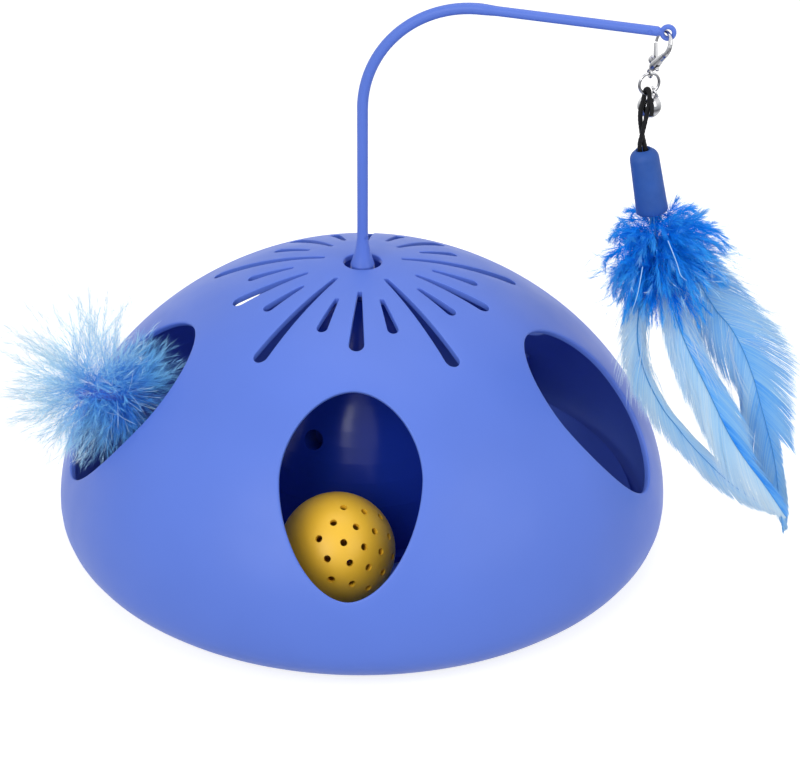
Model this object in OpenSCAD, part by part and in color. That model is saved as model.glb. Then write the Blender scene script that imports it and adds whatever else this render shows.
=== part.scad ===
// Automatic cat feather toy: a slotted dome over a ball track, with a motor that
// swings a feather lure round on a bent wand. Millimetres, +Z up, origin at the
// middle of the footprint on the floor. The front opening faces -Y.

/* [Dome] */
// Widest radius of the dome
dome_r = 115; // [110:0.5:122]
// Height of the widest point above the floor
belly_z = 18; // [16:0.5:20]
// Rise of the dome above its widest point
dome_rise = 93.3; // [91:0.1:97]
// Wall of the dome
wall = 2.4; // [1.8:0.1:3]
// How far the lower edge rolls under
lip_in = 36; // [34:1:38]
// Radius of the hole at the top
top_hole_r = 6.95; // [6.2:0.05:8]
// Height of the lower end of an egg opening
egg_low_z = 38; // [34:0.5:42]
// Height of the upper end of an egg opening
egg_high_z = 92; // [86:0.5:94]
// Half width of an egg opening
egg_half_w = 24.2; // [23.6:0.1:26]
// Width of a long or medium slot at its outer end
slot_w = 5.4; // [4:0.1:6]
// Width of a short slot at its outer end
short_slot_w = 3.9; // [3:0.1:4.5]
// Width of every slot at its inner end
slot_tip_w = 1.5; // [1.2:0.1:2]

/* [Base] */
// Thickness of the rubber foot ring
foot_h = 2.5; // [2:0.1:3]
// Height of the seam between dome and base
seam_z = 5; // [4.5:0.1:5.5]
// Height of the ball track's floor
track_z = 12; // [11.5:0.1:13]
// Thickness of the base's floors and walls
skin = 2.2; // [1.8:0.1:2.6]
// Inner radius of the foot ring
foot_in_r = 80; // [76:1:82]
// Width of the foot ring
foot_w = 11; // [8:0.5:13]

/* [Core] */
// Radius of the motor core at the track
core_r = 46; // [45:0.5:47]
// Height of the core's bell curve above the track
core_h = 90; // [88:0.5:93]
// Wall of the core
core_wall = 2; // [1.6:0.1:2.4]
// Diameter of a puff stem in its socket
stem_d = 7.4; // [6.6:0.1:8]
// Bearing of the side puff, clockwise from the front when negative
puff_bearing = -72; // [-76:1:-68]
// Bearing of the spare socket
spare_bearing = -26; // [-30:1:-22]

/* [Ball] */
// Part of the track's width that the ball leaves free at the height of the core's foot
ball_room = 28; // [27:0.5:30]
// Space between the ball and the core's foot
ball_core_gap = 5.5; // [5:0.1:6]
// Wall of the ball
ball_wall = 1.6; // [1.2:0.1:2]
// Diameter of a hole in the ball
ball_hole_d = 2.5; // [2:0.1:3]
// Radius of the rattle inside the ball
rattle_r = 5; // [4:0.1:6]
// Bearing of the ball in its track
ball_bearing = -4.5; // [-8:0.5:2]

/* [Wand] */
// Diameter of the wand's rod
rod_d = 3.9; // [3.5:0.1:4.3]
// Diameter of the rod beyond the bend
end_d = 3.4; // [3:0.1:3.8]
// Reach of the wand from the axis to its eyelet
wand_reach = 104; // [98:0.5:110]
// Height where the bend starts
bend_z = 170; // [165:0.5:175]
// Radius of the bend
bend_r = 39; // [36:0.5:42]
// Droop of the wand's end below level
droop = 3.6; // [2:0.1:5]
// Diameter of the flare at the wand's foot
flare_d = 8.7; // [8:0.1:9.4]
// Diameter of the spigot that plugs into the hub
spigot_d = 6; // [5.4:0.1:6.4]
// Length of the spigot
spigot_len = 15; // [12:0.5:16]
// Angle of the wand at rest, from the right towards the front
wand_turn = -8; // [-20:1:10]

/* [Lure] */
// Length of the clasp from eyelet to link
clasp_len = 15.6; // [15:0.1:16.5]
// Radius of the clasp's hook where it passes the eyelet
clasp_wire_r = 0.6; // [0.55:0.01:0.65]
// Radius of the jump ring at its wire's middle
ring_r = 3.7; // [3.6:0.05:3.9]
// Radius of the jump ring's wire
ring_wire_r = 0.5; // [0.45:0.01:0.55]
// Radius of the bell
bell_r = 4.15; // [3.9:0.05:4.2]
// Diameter of the cord
cord_d = 1.6; // [1.3:0.1:1.7]
// Length of the rubber sleeve
sleeve_len = 23.5; // [22:0.5:25]
// Diameter of the sleeve at its lower end
sleeve_d = 11.2; // [10.6:0.1:12]
// Radius of the feather collar
collar_r = 22.5; // [21:0.5:24]
// Half height of the feather collar
collar_half_h = 21; // [20:0.5:23]
// Thickness of a long feather
feather_t = 0.8; // [0.6:0.1:1]

/* [Drive] */
// Gear module
gear_mod = 0.6; // [0.58:0.01:0.62]
// Face width of a gear
gear_face = 3; // [2.6:0.1:3.2]
// Diameter of the motor
motor_d = 20; // [19:0.1:20.5]
// Length of the motor's can
motor_len = 24; // [22:0.5:24.5]
// Diameter of the output shaft
shaft_d = 5; // [4.5:0.1:5.4]
// Diameter of a gear axle
axle_d = 2; // [1.8:0.1:2.2]
// Radius of a gear plate
plate_r = 24.5; // [24.2:0.1:25.5]

/* [Battery] */
// Diameter of a cell
cell_d = 14.5; // [14:0.1:14.6]
// Length of a cell
cell_len = 50.5; // [49:0.1:51]
// Space between a cell and the bay
cell_gap = 0.5; // [0.4:0.05:0.7]

/* [Fits] */
// Running clearance of a shaft, axle or pin, on the radius
run = 0.05; // [0.03:0.01:0.08]
// Clearance between pieces that slide or lie side by side
slide_gap = 0.3; // [0.25:0.05:0.4]
// Diameter of a screw's shank
screw_d = 2.4; // [2:0.1:2.6]

/* [Hidden] */
$fn = 64;
dome_pow = 1.8;
lip_pow = 2.4;
openings = 5;
opening_step = 360 / openings;

// Colours
blue = "royalblue";
deep_blue = "mediumblue";
sky = "deepskyblue";
nickel = "gainsboro";
steel = "silver";
nylon = "ivory";

// Places a piece drawn along +X at a bearing from the front
module at_bearing(a) rotate([0, 0, a - 90]) children();

// Places a piece drawn in the wand's own plane, X outwards
module in_wand_frame() rotate([0, 0, wand_turn]) children();

// A round bar from point p to point q
module bar(p, q, d) {
    v = q - p;
    l = norm(v);
    translate(p)
        rotate([0, acos(v[2] / l), atan2(v[1], v[0])])
            cylinder(d = d, h = l);
}

// A curve through a list of points, with n steps between neighbours
function knot(p, i) = p[min(max(i, 0), len(p) - 1)];
function blend4(a, b, c, d, t) =
    0.5 * (2 * b + (c - a) * t + (2 * a - 5 * b + 4 * c - d) * t * t
        + (3 * b - a - 3 * c + d) * t * t * t);
function curve(p, n) = [
    for (i = [0 : len(p) - 2], k = [0 : n - 1])
        blend4(knot(p, i - 1), p[i], p[i + 1], knot(p, i + 2), k / n),
    p[len(p) - 1]
];

// A tube of flat sides swept along points, kept level with a side direction
function unit(v) = v / norm(v);
function heading(p, i) = unit(knot(p, i + 1) - knot(p, i - 1));
module swept_tube(p, d, side, sides = 8) {
    rings = len(p);
    wide = [for (i = [0 : rings - 1]) is_list(d) ? d[i] : d];
    pts = [
        for (i = [0 : rings - 1])
            let (t = heading(p, i), a = unit(side - (side * t) * t), b = cross(t, a))
                for (k = [0 : sides - 1])
                    p[i] + wide[i] / 2 * (cos(360 * k / sides) * a + sin(360 * k / sides) * b)
    ];
    walls = [
        for (i = [0 : rings - 2], k = [0 : sides - 1], half = [0, 1])
            let (m = (k + 1) % sides, lo = i * sides, hi = lo + sides)
                half == 0 ? [lo + k, hi + k, hi + m] : [lo + k, hi + m, lo + m]
    ];
    caps = [
        for (k = [1 : sides - 2], end = [0, 1])
            let (o = end * (rings - 1) * sides)
                end == 0 ? [0, k, k + 1] : [o, o + k + 1, o + k]
    ];
    polyhedron(pts, concat(walls, caps));
}

// Dome profile
function dome_radius(z) =
    dome_r * pow(1 - pow((z - belly_z) / dome_rise, dome_pow), 1 / dome_pow);
function crown(r, rise, hole, n) =
    let (last = acos(pow(hole / r, dome_pow / 2)))
        [for (i = [0 : n]) let (t = last * i / n)
            [r * pow(cos(t), 2 / dome_pow), belly_z + rise * pow(sin(t), 2 / dome_pow)]];
function lip(r, n) =
    let (last = asin(pow((belly_z - seam_z) / belly_z, lip_pow / 2)))
        [for (i = [n : -1 : 1]) let (t = last * i / n)
            [r - lip_in + lip_in * pow(cos(t), 2 / lip_pow),
             belly_z * (1 - pow(sin(t), 2 / lip_pow))]];
dome_outer = concat(lip(dome_r, 6), crown(dome_r, dome_rise, top_hole_r, 26));
dome_inner = concat(lip(dome_r - wall, 6), crown(dome_r - wall, dome_rise - wall, top_hole_r, 26));
function backwards(p) = [for (i = [len(p) - 1 : -1 : 0]) p[i]];
seam_r = dome_outer[0][0];
seam_in_r = dome_inner[0][0];

// Egg openings
egg_low_r = dome_radius(egg_low_z);
egg_high_r = dome_radius(egg_high_z);
egg_lean = atan2(egg_low_r - egg_high_r, egg_high_z - egg_low_z);
egg_len = norm([egg_low_r - egg_high_r, egg_high_z - egg_low_z]);
egg_wide_at = 0.567 * egg_len;
egg_pow = 1.85;
egg_depth_in = 9;
egg_depth_out = 30;
egg_steps = 48;
function signed_pow(v, e) = sign(v) * pow(abs(v), e);
egg_outline = [
    for (i = [0 : egg_steps - 1])
        let (t = 360 * i / egg_steps, s = signed_pow(sin(t), 2 / egg_pow))
            [egg_half_w * signed_pow(cos(t), 2 / egg_pow),
             egg_wide_at + s * (s > 0 ? egg_len - egg_wide_at : egg_wide_at)]
];

// Slots: inner and outer reach of each kind, as radii
long_slot = [14.7, 59.2];
medium_slot = [20.4, 48.4];
short_slot = [25.2, 41.9];

// Dome and base joined by screws
boss_rib_t = 2.4;
boss_d = 7;
head_d = 2 * screw_d;
head_h = 0.75 * screw_d;
screw_grip = 10;
pilot_extra = 1.5;
dome_boss_h = screw_grip + pilot_extra + 2.5;
base_floor_z = track_z - skin;
base_rim_r = seam_in_r - slide_gap - 0.3;
head_room = 1;
dome_boss_r = base_rim_r - skin - head_d / 2 - head_room - slide_gap;

// Core profile
core_bulge = 1.9;
core_taper = 1.3;
core_steps = 18;
hub_d = 12;
core_mouth_r = hub_d / 2 + 1;
function core_radius(z) =
    core_r * pow(1 - pow((z - track_z) / core_h, core_bulge), 1 / core_taper);
function core_height(r) =
    track_z + core_h * pow(1 - pow(r / core_r, core_taper), 1 / core_bulge);
core_top_z = core_height(core_mouth_r);
core_flange_r = core_r + 4;
core_flange_h = 2.4;
core_boss_r = core_r - core_wall - boss_d / 2 + 0.5;
core_boss_angle = 60;
core_boss_x = core_boss_r * cos(core_boss_angle);
core_boss_y = core_boss_r * sin(core_boss_angle);
core_boss_h = 14;

// Stem sockets in the core
socket_z = 54;
socket_r = 34;
socket_tilt = 14;
socket_depth = 7;
socket_wall = 1.8;

// Battery bay
cover_t = 2;
cover_z = foot_h;
cell_z = cover_z + cover_t + cell_gap + cell_d / 2;
cell_pitch = cell_d + 1;
contact_space = 3.5;
bay_x = cell_len / 2 + contact_space;
bay_y = cell_pitch / 2 + cell_d / 2 + cell_gap;
bay_roof_z = cell_z + cell_d / 2 + cell_gap;
bay_top_z = bay_roof_z + skin;
cover_side = 1.5;
cover_tab = 8;
cover_x = bay_x + cover_side;
cover_y = bay_y + cover_side;
cover_screw_x = cover_x + cover_tab / 2 - 0.5;
contact_t = 0.5;
contact_w = 12;
contact_tab_w = 3;
contact_x = bay_x - contact_t / 2 - 0.05;
contact_dish_d = 6;

// Power switch
switch_y = 62;
switch_x_len = 19;
switch_y_len = 9;
switch_h = 4.6;
knob_x = 4;
knob_y = 3;
knob_travel = 4;
switch_z = foot_h + skin;

// Gear train: axis positions and levels
pinion_teeth = 12;
wheel_teeth = 36;
output_teeth = 40;
output_dist = gear_mod * (pinion_teeth + output_teeth) / 2;
wheel_dist = gear_mod * (pinion_teeth + wheel_teeth) / 2;
second_angle = 20;
first_angle = 110;
pinion_angle = 200;
second_at = output_dist * [cos(second_angle), sin(second_angle)];
first_at = second_at + wheel_dist * [cos(first_angle), sin(first_angle)];
pinion_at = first_at + wheel_dist * [cos(pinion_angle), sin(pinion_angle)];
plate_t = 2;
motor_cap_h = 2;
motor_z = bay_top_z + 0.6 + motor_cap_h;
plate_z = motor_z + motor_len;
gear_z = plate_z + plate_t + 1.4;
layer = gear_face + 1;
end_play = slide_gap;
upper_plate_z = gear_z + 3 * layer + gear_face + 0.5;
first_z = gear_z + 0.5;
second_z = first_z + layer;
output_z = second_z + layer;
pillar_d = 6;
pillars = [[-19, 9.5], [-12, -16], [20, -1]];
posts = [[-17, -8], [-10, 19], [8, -20]];
post_d = 5;
bush_d = 9;
bush_flange_d = 12;
bush_h = 5;
bush_flange_h = 1.2;

// Wand hub and the wand's foot
hub_z = upper_plate_z + plate_t + bush_flange_h + slide_gap;
hub_top_z = belly_z + dome_rise - 7.3;
shaft_in_hub = 12;
spigot_end_gap = 0.6;
foot_gap = 0.1;
flare_z = hub_top_z + foot_gap;
flare_straight = 6;
flare_len = 14;
flare_pow = 2.2;
flare_steps = 10;
rod_r = rod_d / 2;

// Wand's end and eyelet
bend_end_x = bend_r * (1 + sin(droop));
bend_end_z = bend_z + bend_r * cos(droop);
end_len = (wand_reach - bend_end_x) / cos(droop);
eye_x = wand_reach;
eye_z = bend_end_z - end_len * sin(droop);
bend_lap = 0.6;
bend_swell = 0.03;
end_taper = 5;
eye_r = 2.05;
eye_wire_r = 0.78;
eye_half_t = 1.1;
eye_taper = 1.4;
eye_flat = eye_half_t - eye_wire_r;
eye_section = concat(
    [for (a = [0 : 30 : 180]) [eye_r + eye_wire_r * cos(a), eye_flat + eye_wire_r * sin(a)]],
    [for (a = [180 : 30 : 360]) [eye_r + eye_wire_r * cos(a), -eye_flat + eye_wire_r * sin(a)]]);
mark_d = 1.5;
mark_depth = 0.2;
mark_from_eye = 5.9;
foot_mark_z = 16.9;
foot_mark_turn = 50;

// Clasp, in its own plane: X across, Z up, the eyelet's middle at the origin
clasp_tilt = 19;
clasp_twist = 58;
hook_r = 4.3;
hook_low_angle = -40;
hook_end_angle = 197;
hook_steps = 18;
hook_thin_angle = 75;
claw_r = 1;
hook_tip_r = 0.5;
clasp_t = 2.4;
lobe_r = 1.75;
lobe_at = [-1.25, 4.5 - clasp_len];
gate_t = 0.9;
gate_w = 1.1;
gate_hub_d = 1.6;
gate_gap = 0.5;
gate_pivot = [-0.2, 5.2 - clasp_len];
gate_tip = hook_r * [cos(hook_end_angle), sin(hook_end_angle) - 1]
    + gate_gap * [-sin(hook_end_angle), cos(hook_end_angle)];
gate_tab = [2.9, 3.1 - clasp_len];
gate_slot = gate_t + 2 * slide_gap;
gate_room = [
    [-6, 2.4], [6, 2.4], [3.6, 4], [0.95, 5.7], [0.95, 6.8], [0, 8.6], [-6, 8.6]
];
// The claw: its middle line from the hook's tip to the link, and its radius there
function hook_angle(i) = hook_end_angle + (hook_low_angle - hook_end_angle) * i / hook_steps;
function hook_radius(a) =
    a > 170 ? hook_tip_r
        : a > hook_thin_angle ? clasp_wire_r
        : clasp_wire_r + (claw_r - clasp_wire_r) * (hook_thin_angle - a) / (hook_thin_angle - hook_low_angle);
claw_foot = [[2.35, 7, 1.2], [1.5, 5.5, 1.5], [0.7, 4, 1.7], [0.1, 2.5, 1.45], [-0.1, 1.2, 0.8]];
claw_line = concat(
    [for (i = [0 : hook_steps]) let (a = hook_angle(i)) hook_r * [cos(a), 0, sin(a) - 1]],
    [for (f = claw_foot) [f[0], 0, f[1] - clasp_len]]);
claw_width = concat(
    [for (i = [0 : hook_steps]) 2 * hook_radius(hook_angle(i))], [for (f = claw_foot) 2 * f[2]]);
clasp_pin_d = 0.8;
link_r = 1.3;
link_wire_r = 0.45;
link_x = eye_x - clasp_len * sin(clasp_tilt);
link_z = eye_z - clasp_len * cos(clasp_tilt);

// Jump ring and bell
ring_twist = -30;
ring_z = link_z - ring_r;
bell_on_ring = 45;
bell_tilt = 28;
bell_loop_r = 1.9;
bell_loop_wire_r = 0.4;
bell_loop_lean = bell_on_ring - 10;
bell_loop_drop = bell_loop_r - bell_loop_wire_r - ring_wire_r - 0.15;
bell_wall = 0.4;
bell_drop = bell_r + 4;
bell_slit = 0.9;
loop_low_x = bell_loop_r * sin(bell_loop_lean);
pellet_r = 1.4;

// Cord: out of the sleeve, over the jump ring and back, in the wand's frame
cord_on_ring = -8;
cord_arch_r = 1.7;
cord_arch_lean = 6;
ring_along = [cos(ring_twist), -sin(ring_twist), 0];
ring_across = [sin(ring_twist), cos(ring_twist), 0];
cord_seat = [link_x, 0, ring_z] + ring_r * (sin(cord_on_ring) * ring_along - [0, 0, cos(cord_on_ring)]);
arch_up = sin(cord_arch_lean) * ring_along + [0, 0, cos(cord_arch_lean)];
cord_arch = [for (a = [-90 : 30 : 90]) cord_seat + cord_arch_r * (cos(a) * arch_up + sin(a) * ring_across)];
cord_up = [
    [98.3, -0.2, 158.0], [97.85, -0.4, 160.0], [97.3, -0.7, 162.5], [97.2, -1.1, 165.3],
    [97.7, -1.6, 168.2], [98.2, -1.9, 171.2], [98.65, -2.15, 174.3], [99.05, -2.3, 177.4],
    cord_seat - (cord_arch_r + 0.1) * ring_across - [0, 0, 2.9]
];
cord_down = [
    [97.3, 0.75, 180.0], [96.85, -0.2, 178.2], [96.65, -0.7, 176.2], [96.75, -0.65, 173.8],
    [97.1, -0.2, 171.2], [97.6, 0.35, 168.2], [98.35, 0.5, 165.3], [99.1, 0.4, 162.5],
    [99.75, 0.35, 160.0], [100.3, 0.2, 158.0]
];
cord_route = concat(cord_up, cord_arch, cord_down);
cord_side = ring_along;

// Sleeve, plug and collar lie on one leaning axis
sleeve_top = [98.4, 0, 162.6];
sleeve_lean = 11.5;
sleeve_top_d = 10.2;
sleeve_round = 3.6;
sleeve_round_steps = 5;
cord_bore_d = 4.8;
cord_bore_len = 7;
quill_bore_d = 7.2;
quill_len = 9;
collar_gap = 0.3;
collar_steps = 16;

// Long feathers: middle lines in the wand's plane, kept clear of the dome's widest radius,
// then the width on the outer and inner side, the step and the lean
quill_half_w = 0.8;
vane_start = 0.14;
broad_line = [
    [104.0, 140.0], [109.5, 132.5], [118.0, 122.0], [dome_r + 11, 110.5], [dome_r + 20.5, 98.0],
    [dome_r + 27.5, 83.0], [dome_r + 33.5, 66.0], [dome_r + 38, 52.0], [dome_r + 42, 40.0],
    [dome_r + 45.5, 15.0]
];
middle_line = [
    [103.5, 140.0], [106.0, 122.0], [110.0, 102.5], [dome_r, 89.0], [dome_r + 12, 71.0],
    [dome_r + 20, 58.0], [dome_r + 28, 45.0], [dome_r + 37, 32.5], [dome_r + 45.5, 21.5]
];
narrow_line = [
    [102.8, 139.5], [102.5, 119.0], [dome_r - 14, 103.0], [dome_r - 14, 88.5], [dome_r - 12.5, 78.5],
    [dome_r - 7.5, 68.0], [dome_r + 1.5, 56.5], [dome_r + 10, 48.0], [dome_r + 21.5, 39.0],
    [dome_r + 33, 28.5], [dome_r + 43, 18.0]
];
broad_half_w = [13, 15];
middle_half_w = [12, 8];
narrow_half_w = [9, 5];
broad_side = 1.9;
middle_side = -1.9;
narrow_side = 0;
broad_lean = -4;
middle_lean = 3;
narrow_lean = 0;
feather_top_z = 140;

// Side puff along its stem: distance from the opening's middle, and radius
puff_mid_r = 93;
puff_mid_z = 69;
puff_shape = [
    [-27, 4], [-26, 6.5], [-20, 9], [-15, 12.5], [-10, 17], [-4, 20.5], [8, 24],
    [17, 25.5], [25, 23.5], [32, 18], [37.5, 10], [39.8, 4], [40.3, 0]
];
stem_rod_d = 4;
stem_ball_d = 5;
stem_end = 12;
stem_start = -(puff_mid_r - socket_r) / cos(socket_tilt);

// Ball
ball_r = (dome_r - core_r - ball_room) / 2;
ball_path_r = core_r + ball_core_gap + ball_r;
ball_z = track_z + slide_gap + ball_r;
ball_pole_bearing = 36;
ball_pole_up = 32;
hole_rings = [[0, 1, 0], [21, 6, 0], [38.4, 6, 30], [45.6, 6, 0]];

// Circuit board and leads
board_at = [6, -15];
board_size = [22, 13, 1.6];
board_z = bay_top_z + 1.5;
board_post_d = 4;
lead_d = 1.2;

module egg_cutter() {
    translate([egg_low_r, 0, egg_low_z])
        rotate([0, -egg_lean, 0])
            rotate([90, 0, 90])
                translate([0, 0, -egg_depth_in])
                    linear_extrude(egg_depth_in + egg_depth_out)
                        polygon(egg_outline);
}

module slot_cutter(reach, outer_w) {
    outer_r = outer_w / 2;
    tip_r = slot_tip_w / 2;
    outer_at = reach[1] - outer_r;
    tip_at = reach[0] + tip_r;
    translate([0, 0, belly_z + dome_rise / 3])
        linear_extrude(dome_rise)
            polygon(concat(
                [for (a = [-90 : 22.5 : 90]) [outer_at + outer_r * cos(a), outer_r * sin(a)]],
                [for (a = [90 : 45 : 270]) [tip_at + tip_r * cos(a), tip_r * sin(a)]]));
}

module dome_boss() {
    translate([dome_boss_r, 0, track_z]) {
        cylinder(d = boss_d, h = dome_boss_h);
        translate([0, -boss_rib_t / 2, 0]) cube([dome_r - dome_boss_r, boss_rib_t, dome_boss_h]);
    }
}

module dome_shell() {
    color(blue)
        difference() {
            union() {
                rotate_extrude($fn = 128)
                    polygon(concat(dome_outer, backwards(dome_inner)));
                intersection() {
                    for (k = [0 : openings - 1])
                        at_bearing(opening_step * k) dome_boss();
                    rotate_extrude($fn = 128)
                        polygon(concat(
                            [[0, seam_z]], lip(dome_r - wall / 2, 6),
                            crown(dome_r - wall / 2, dome_rise - wall / 2, top_hole_r, 26),
                            [[0, belly_z + dome_rise - wall]]));
                }
            }
            for (k = [0 : openings - 1]) {
                at_bearing(opening_step * k) egg_cutter();
                at_bearing(opening_step * k) slot_cutter(medium_slot, slot_w);
                at_bearing(opening_step * (k + 0.5)) slot_cutter(long_slot, slot_w);
                at_bearing(opening_step * (k + 0.25)) slot_cutter(short_slot, short_slot_w);
                at_bearing(opening_step * (k + 0.75)) slot_cutter(short_slot, short_slot_w);
                at_bearing(opening_step * k)
                    translate([dome_boss_r, 0, track_z - 1])
                        cylinder(d = screw_d + 2 * run, h = screw_grip + pilot_extra + 1);
            }
        }
}

module base_tray() {
    edge = [
        [0, base_floor_z], [base_rim_r - skin, base_floor_z], [base_rim_r - skin, seam_z],
        [foot_in_r - 2, seam_z], [foot_in_r - 2, foot_h], [seam_r - 6, foot_h],
        [seam_r - 2, foot_h + 0.8], [seam_r, seam_z], [base_rim_r, seam_z],
        [base_rim_r, track_z], [0, track_z]
    ];
    color(blue)
        difference() {
            union() {
                rotate_extrude($fn = 128) polygon(edge);
                translate([-cover_x - skin - slide_gap, -cover_y - skin - slide_gap, foot_h])
                    cube([2 * cover_x + cover_tab + 2 * (skin + slide_gap),
                          2 * (cover_y + skin + slide_gap), track_z - foot_h]);
                translate([-switch_x_len / 2 - skin - slide_gap,
                           switch_y - switch_y_len / 2 - skin - slide_gap, foot_h])
                    cube([switch_x_len + 2 * (skin + slide_gap),
                          switch_y_len + 2 * (skin + slide_gap), track_z - foot_h]);
            }
            translate([-bay_x, -bay_y, foot_h - 1])
                cube([2 * bay_x, 2 * bay_y, track_z - foot_h + 2]);
            translate([-cover_x - slide_gap, -cover_y - slide_gap, foot_h - 1])
                cube([2 * (cover_x + slide_gap) + cover_tab, 2 * (cover_y + slide_gap), cover_t + 1]);
            translate([cover_screw_x, 0, foot_h])
                cylinder(d = screw_d + 2 * run, h = screw_grip - 2);
            translate([-switch_x_len / 2 - slide_gap, switch_y - switch_y_len / 2 - slide_gap, switch_z])
                cube([switch_x_len + 2 * slide_gap, switch_y_len + 2 * slide_gap,
                      base_floor_z - switch_z]);
            translate([-knob_x / 2 - slide_gap, switch_y - knob_y / 2 - slide_gap, foot_h - 1])
                cube([knob_x + knob_travel + 2 * slide_gap, knob_y + 2 * slide_gap, skin + 2]);
            for (k = [0 : openings - 1])
                at_bearing(opening_step * k)
                    translate([dome_boss_r, 0, foot_h - 1]) {
                        cylinder(d = screw_d + 2 * run, h = track_z);
                        cylinder(d = head_d + 2 * head_room, h = seam_z - foot_h + 2);
                    }
            for (x = [-1, 1], y = [-1, 1])
                translate([x * core_boss_x, y * core_boss_y, foot_h])
                    cylinder(d = screw_d + 2 * run, h = track_z);
        }
}

// The upper half of the battery bay, with the pillars that carry the gearbox
module battery_box() {
    color(blue)
        difference() {
            union() {
                translate([-bay_x - skin, -bay_y - skin, track_z])
                    cube([2 * (bay_x + skin), 2 * (bay_y + skin), bay_top_z - track_z]);
                for (p = pillars)
                    translate([p[0], p[1], bay_top_z - 0.5])
                        cylinder(d = pillar_d, h = plate_z - bay_top_z + 0.5);
                for (x = [-1, 1])
                    translate([board_at[0] + x * board_size[0] / 3, board_at[1], bay_top_z - 0.5])
                        cylinder(d = board_post_d, h = board_z - bay_top_z + 0.5);
            }
            translate([-bay_x, -bay_y, track_z - 1])
                cube([2 * bay_x, 2 * bay_y, bay_roof_z - track_z + 1]);
            for (y = [-1, 1])
                translate([contact_x - 1, y * cell_pitch / 2 - contact_tab_w / 2 - slide_gap,
                           bay_roof_z - 1])
                    cube([2, contact_tab_w + 2 * slide_gap, skin + 2]);
            for (p = pillars)
                translate([p[0], p[1], plate_z - screw_grip])
                    cylinder(d = screw_d + 2 * run, h = screw_grip + 1);
        }
}

module foot_ring() {
    color("dimgray")
        difference() {
            cylinder(r = foot_in_r + foot_w, h = foot_h, $fn = 128);
            translate([0, 0, -1]) cylinder(r = foot_in_r, h = foot_h + 2, $fn = 128);
        }
}

// A screw with its head at the origin's underside and its shank upwards
module screw(grip) {
    cylinder(d = screw_d, h = grip);
    translate([0, 0, -head_h])
        difference() {
            cylinder(d = head_d, h = head_h);
            for (a = [0, 90])
                rotate([0, 0, a])
                    translate([-head_d / 3, -0.35, -0.1])
                        cube([2 * head_d / 3, 0.7, head_h / 2]);
        }
}

module dome_screws() {
    color(steel)
        for (k = [0 : openings - 1])
            at_bearing(opening_step * k)
                translate([dome_boss_r, 0, base_floor_z]) screw(skin + screw_grip);
}

module core_boss() {
    translate([0, 0, track_z]) cylinder(d = boss_d, h = core_boss_h);
}

// Something drawn along +X, placed on a socket's leaning axis
module on_socket(a) {
    at_bearing(a)
        translate([socket_r, 0, socket_z])
            rotate([0, -socket_tilt, 0]) children();
}

module core_cover() {
    outer = [for (i = [0 : core_steps])
        let (r = core_r + (core_mouth_r - core_r) * i / core_steps) [r, core_height(r)]];
    inner = [for (i = [0 : core_steps])
        let (r = core_r + (core_mouth_r - core_r) * i / core_steps)
            [r - core_wall * (1 - i / core_steps), core_height(r) - core_wall * i / core_steps]];
    color(deep_blue)
        difference() {
            union() {
                rotate_extrude($fn = 128) {
                    polygon(concat(outer, backwards(inner)));
                    translate([core_r - core_wall, track_z])
                        square([core_flange_r - core_r + core_wall, core_flange_h]);
                }
                intersection() {
                    union() {
                        for (x = [-1, 1], y = [-1, 1])
                            translate([x * core_boss_x, y * core_boss_y, 0]) core_boss();
                        for (a = [puff_bearing, spare_bearing])
                            on_socket(a)
                                translate([-socket_depth, 0, 0])
                                    rotate([0, 90, 0])
                                        cylinder(d = stem_d + 2 * socket_wall, h = 3 * socket_depth);
                    }
                    rotate_extrude($fn = 128)
                        polygon(concat([[0, track_z]], outer, [[0, core_top_z]]));
                }
            }
            for (x = [-1, 1], y = [-1, 1])
                translate([x * core_boss_x, y * core_boss_y, track_z - 1])
                    cylinder(d = screw_d + 2 * run, h = screw_grip + pilot_extra + 1);
            for (a = [puff_bearing, spare_bearing])
                on_socket(a)
                    translate([-socket_depth + socket_wall, 0, 0])
                        rotate([0, 90, 0])
                            cylinder(d = stem_d + 2 * run, h = 4 * socket_depth);
        }
}

module core_screws() {
    color(steel)
        for (x = [-1, 1], y = [-1, 1])
            translate([x * core_boss_x, y * core_boss_y, base_floor_z]) screw(skin + screw_grip);
}

module gear_plate_lower() {
    color("whitesmoke")
        translate([0, 0, plate_z])
            difference() {
                cylinder(r = plate_r, h = plate_t);
                translate([0, 0, -1]) {
                    cylinder(d = shaft_d + 2 * run, h = plate_t + 2);
                    for (p = [first_at, second_at])
                        translate([p[0], p[1], 0]) cylinder(d = axle_d + 2 * run, h = plate_t + 2);
                    translate([pinion_at[0], pinion_at[1], 0])
                        cylinder(d = gear_mod * pinion_teeth + 3, h = plate_t + 2);
                    for (p = pillars)
                        translate([p[0], p[1], 0]) cylinder(d = screw_d + 2 * run, h = plate_t + 2);
                }
            }
}

module gear_plate_upper() {
    color("whitesmoke")
        translate([0, 0, upper_plate_z])
            difference() {
                cylinder(r = plate_r, h = plate_t);
                translate([0, 0, -1]) {
                    cylinder(d = bush_d + 2 * run, h = plate_t + 2);
                    for (p = [first_at, second_at])
                        translate([p[0], p[1], 0]) cylinder(d = axle_d + 2 * run, h = plate_t + 2);
                    for (p = posts)
                        translate([p[0], p[1], 0]) cylinder(d = screw_d + 2 * run, h = plate_t + 2);
                }
            }
}

module plate_posts() {
    color("whitesmoke")
        for (p = posts)
            translate([p[0], p[1], plate_z + plate_t])
                difference() {
                    cylinder(d = post_d, h = upper_plate_z - plate_z - plate_t);
                    translate([0, 0, upper_plate_z - plate_z - plate_t - screw_grip])
                        cylinder(d = screw_d + 2 * run, h = screw_grip + 1);
                }
}

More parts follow.
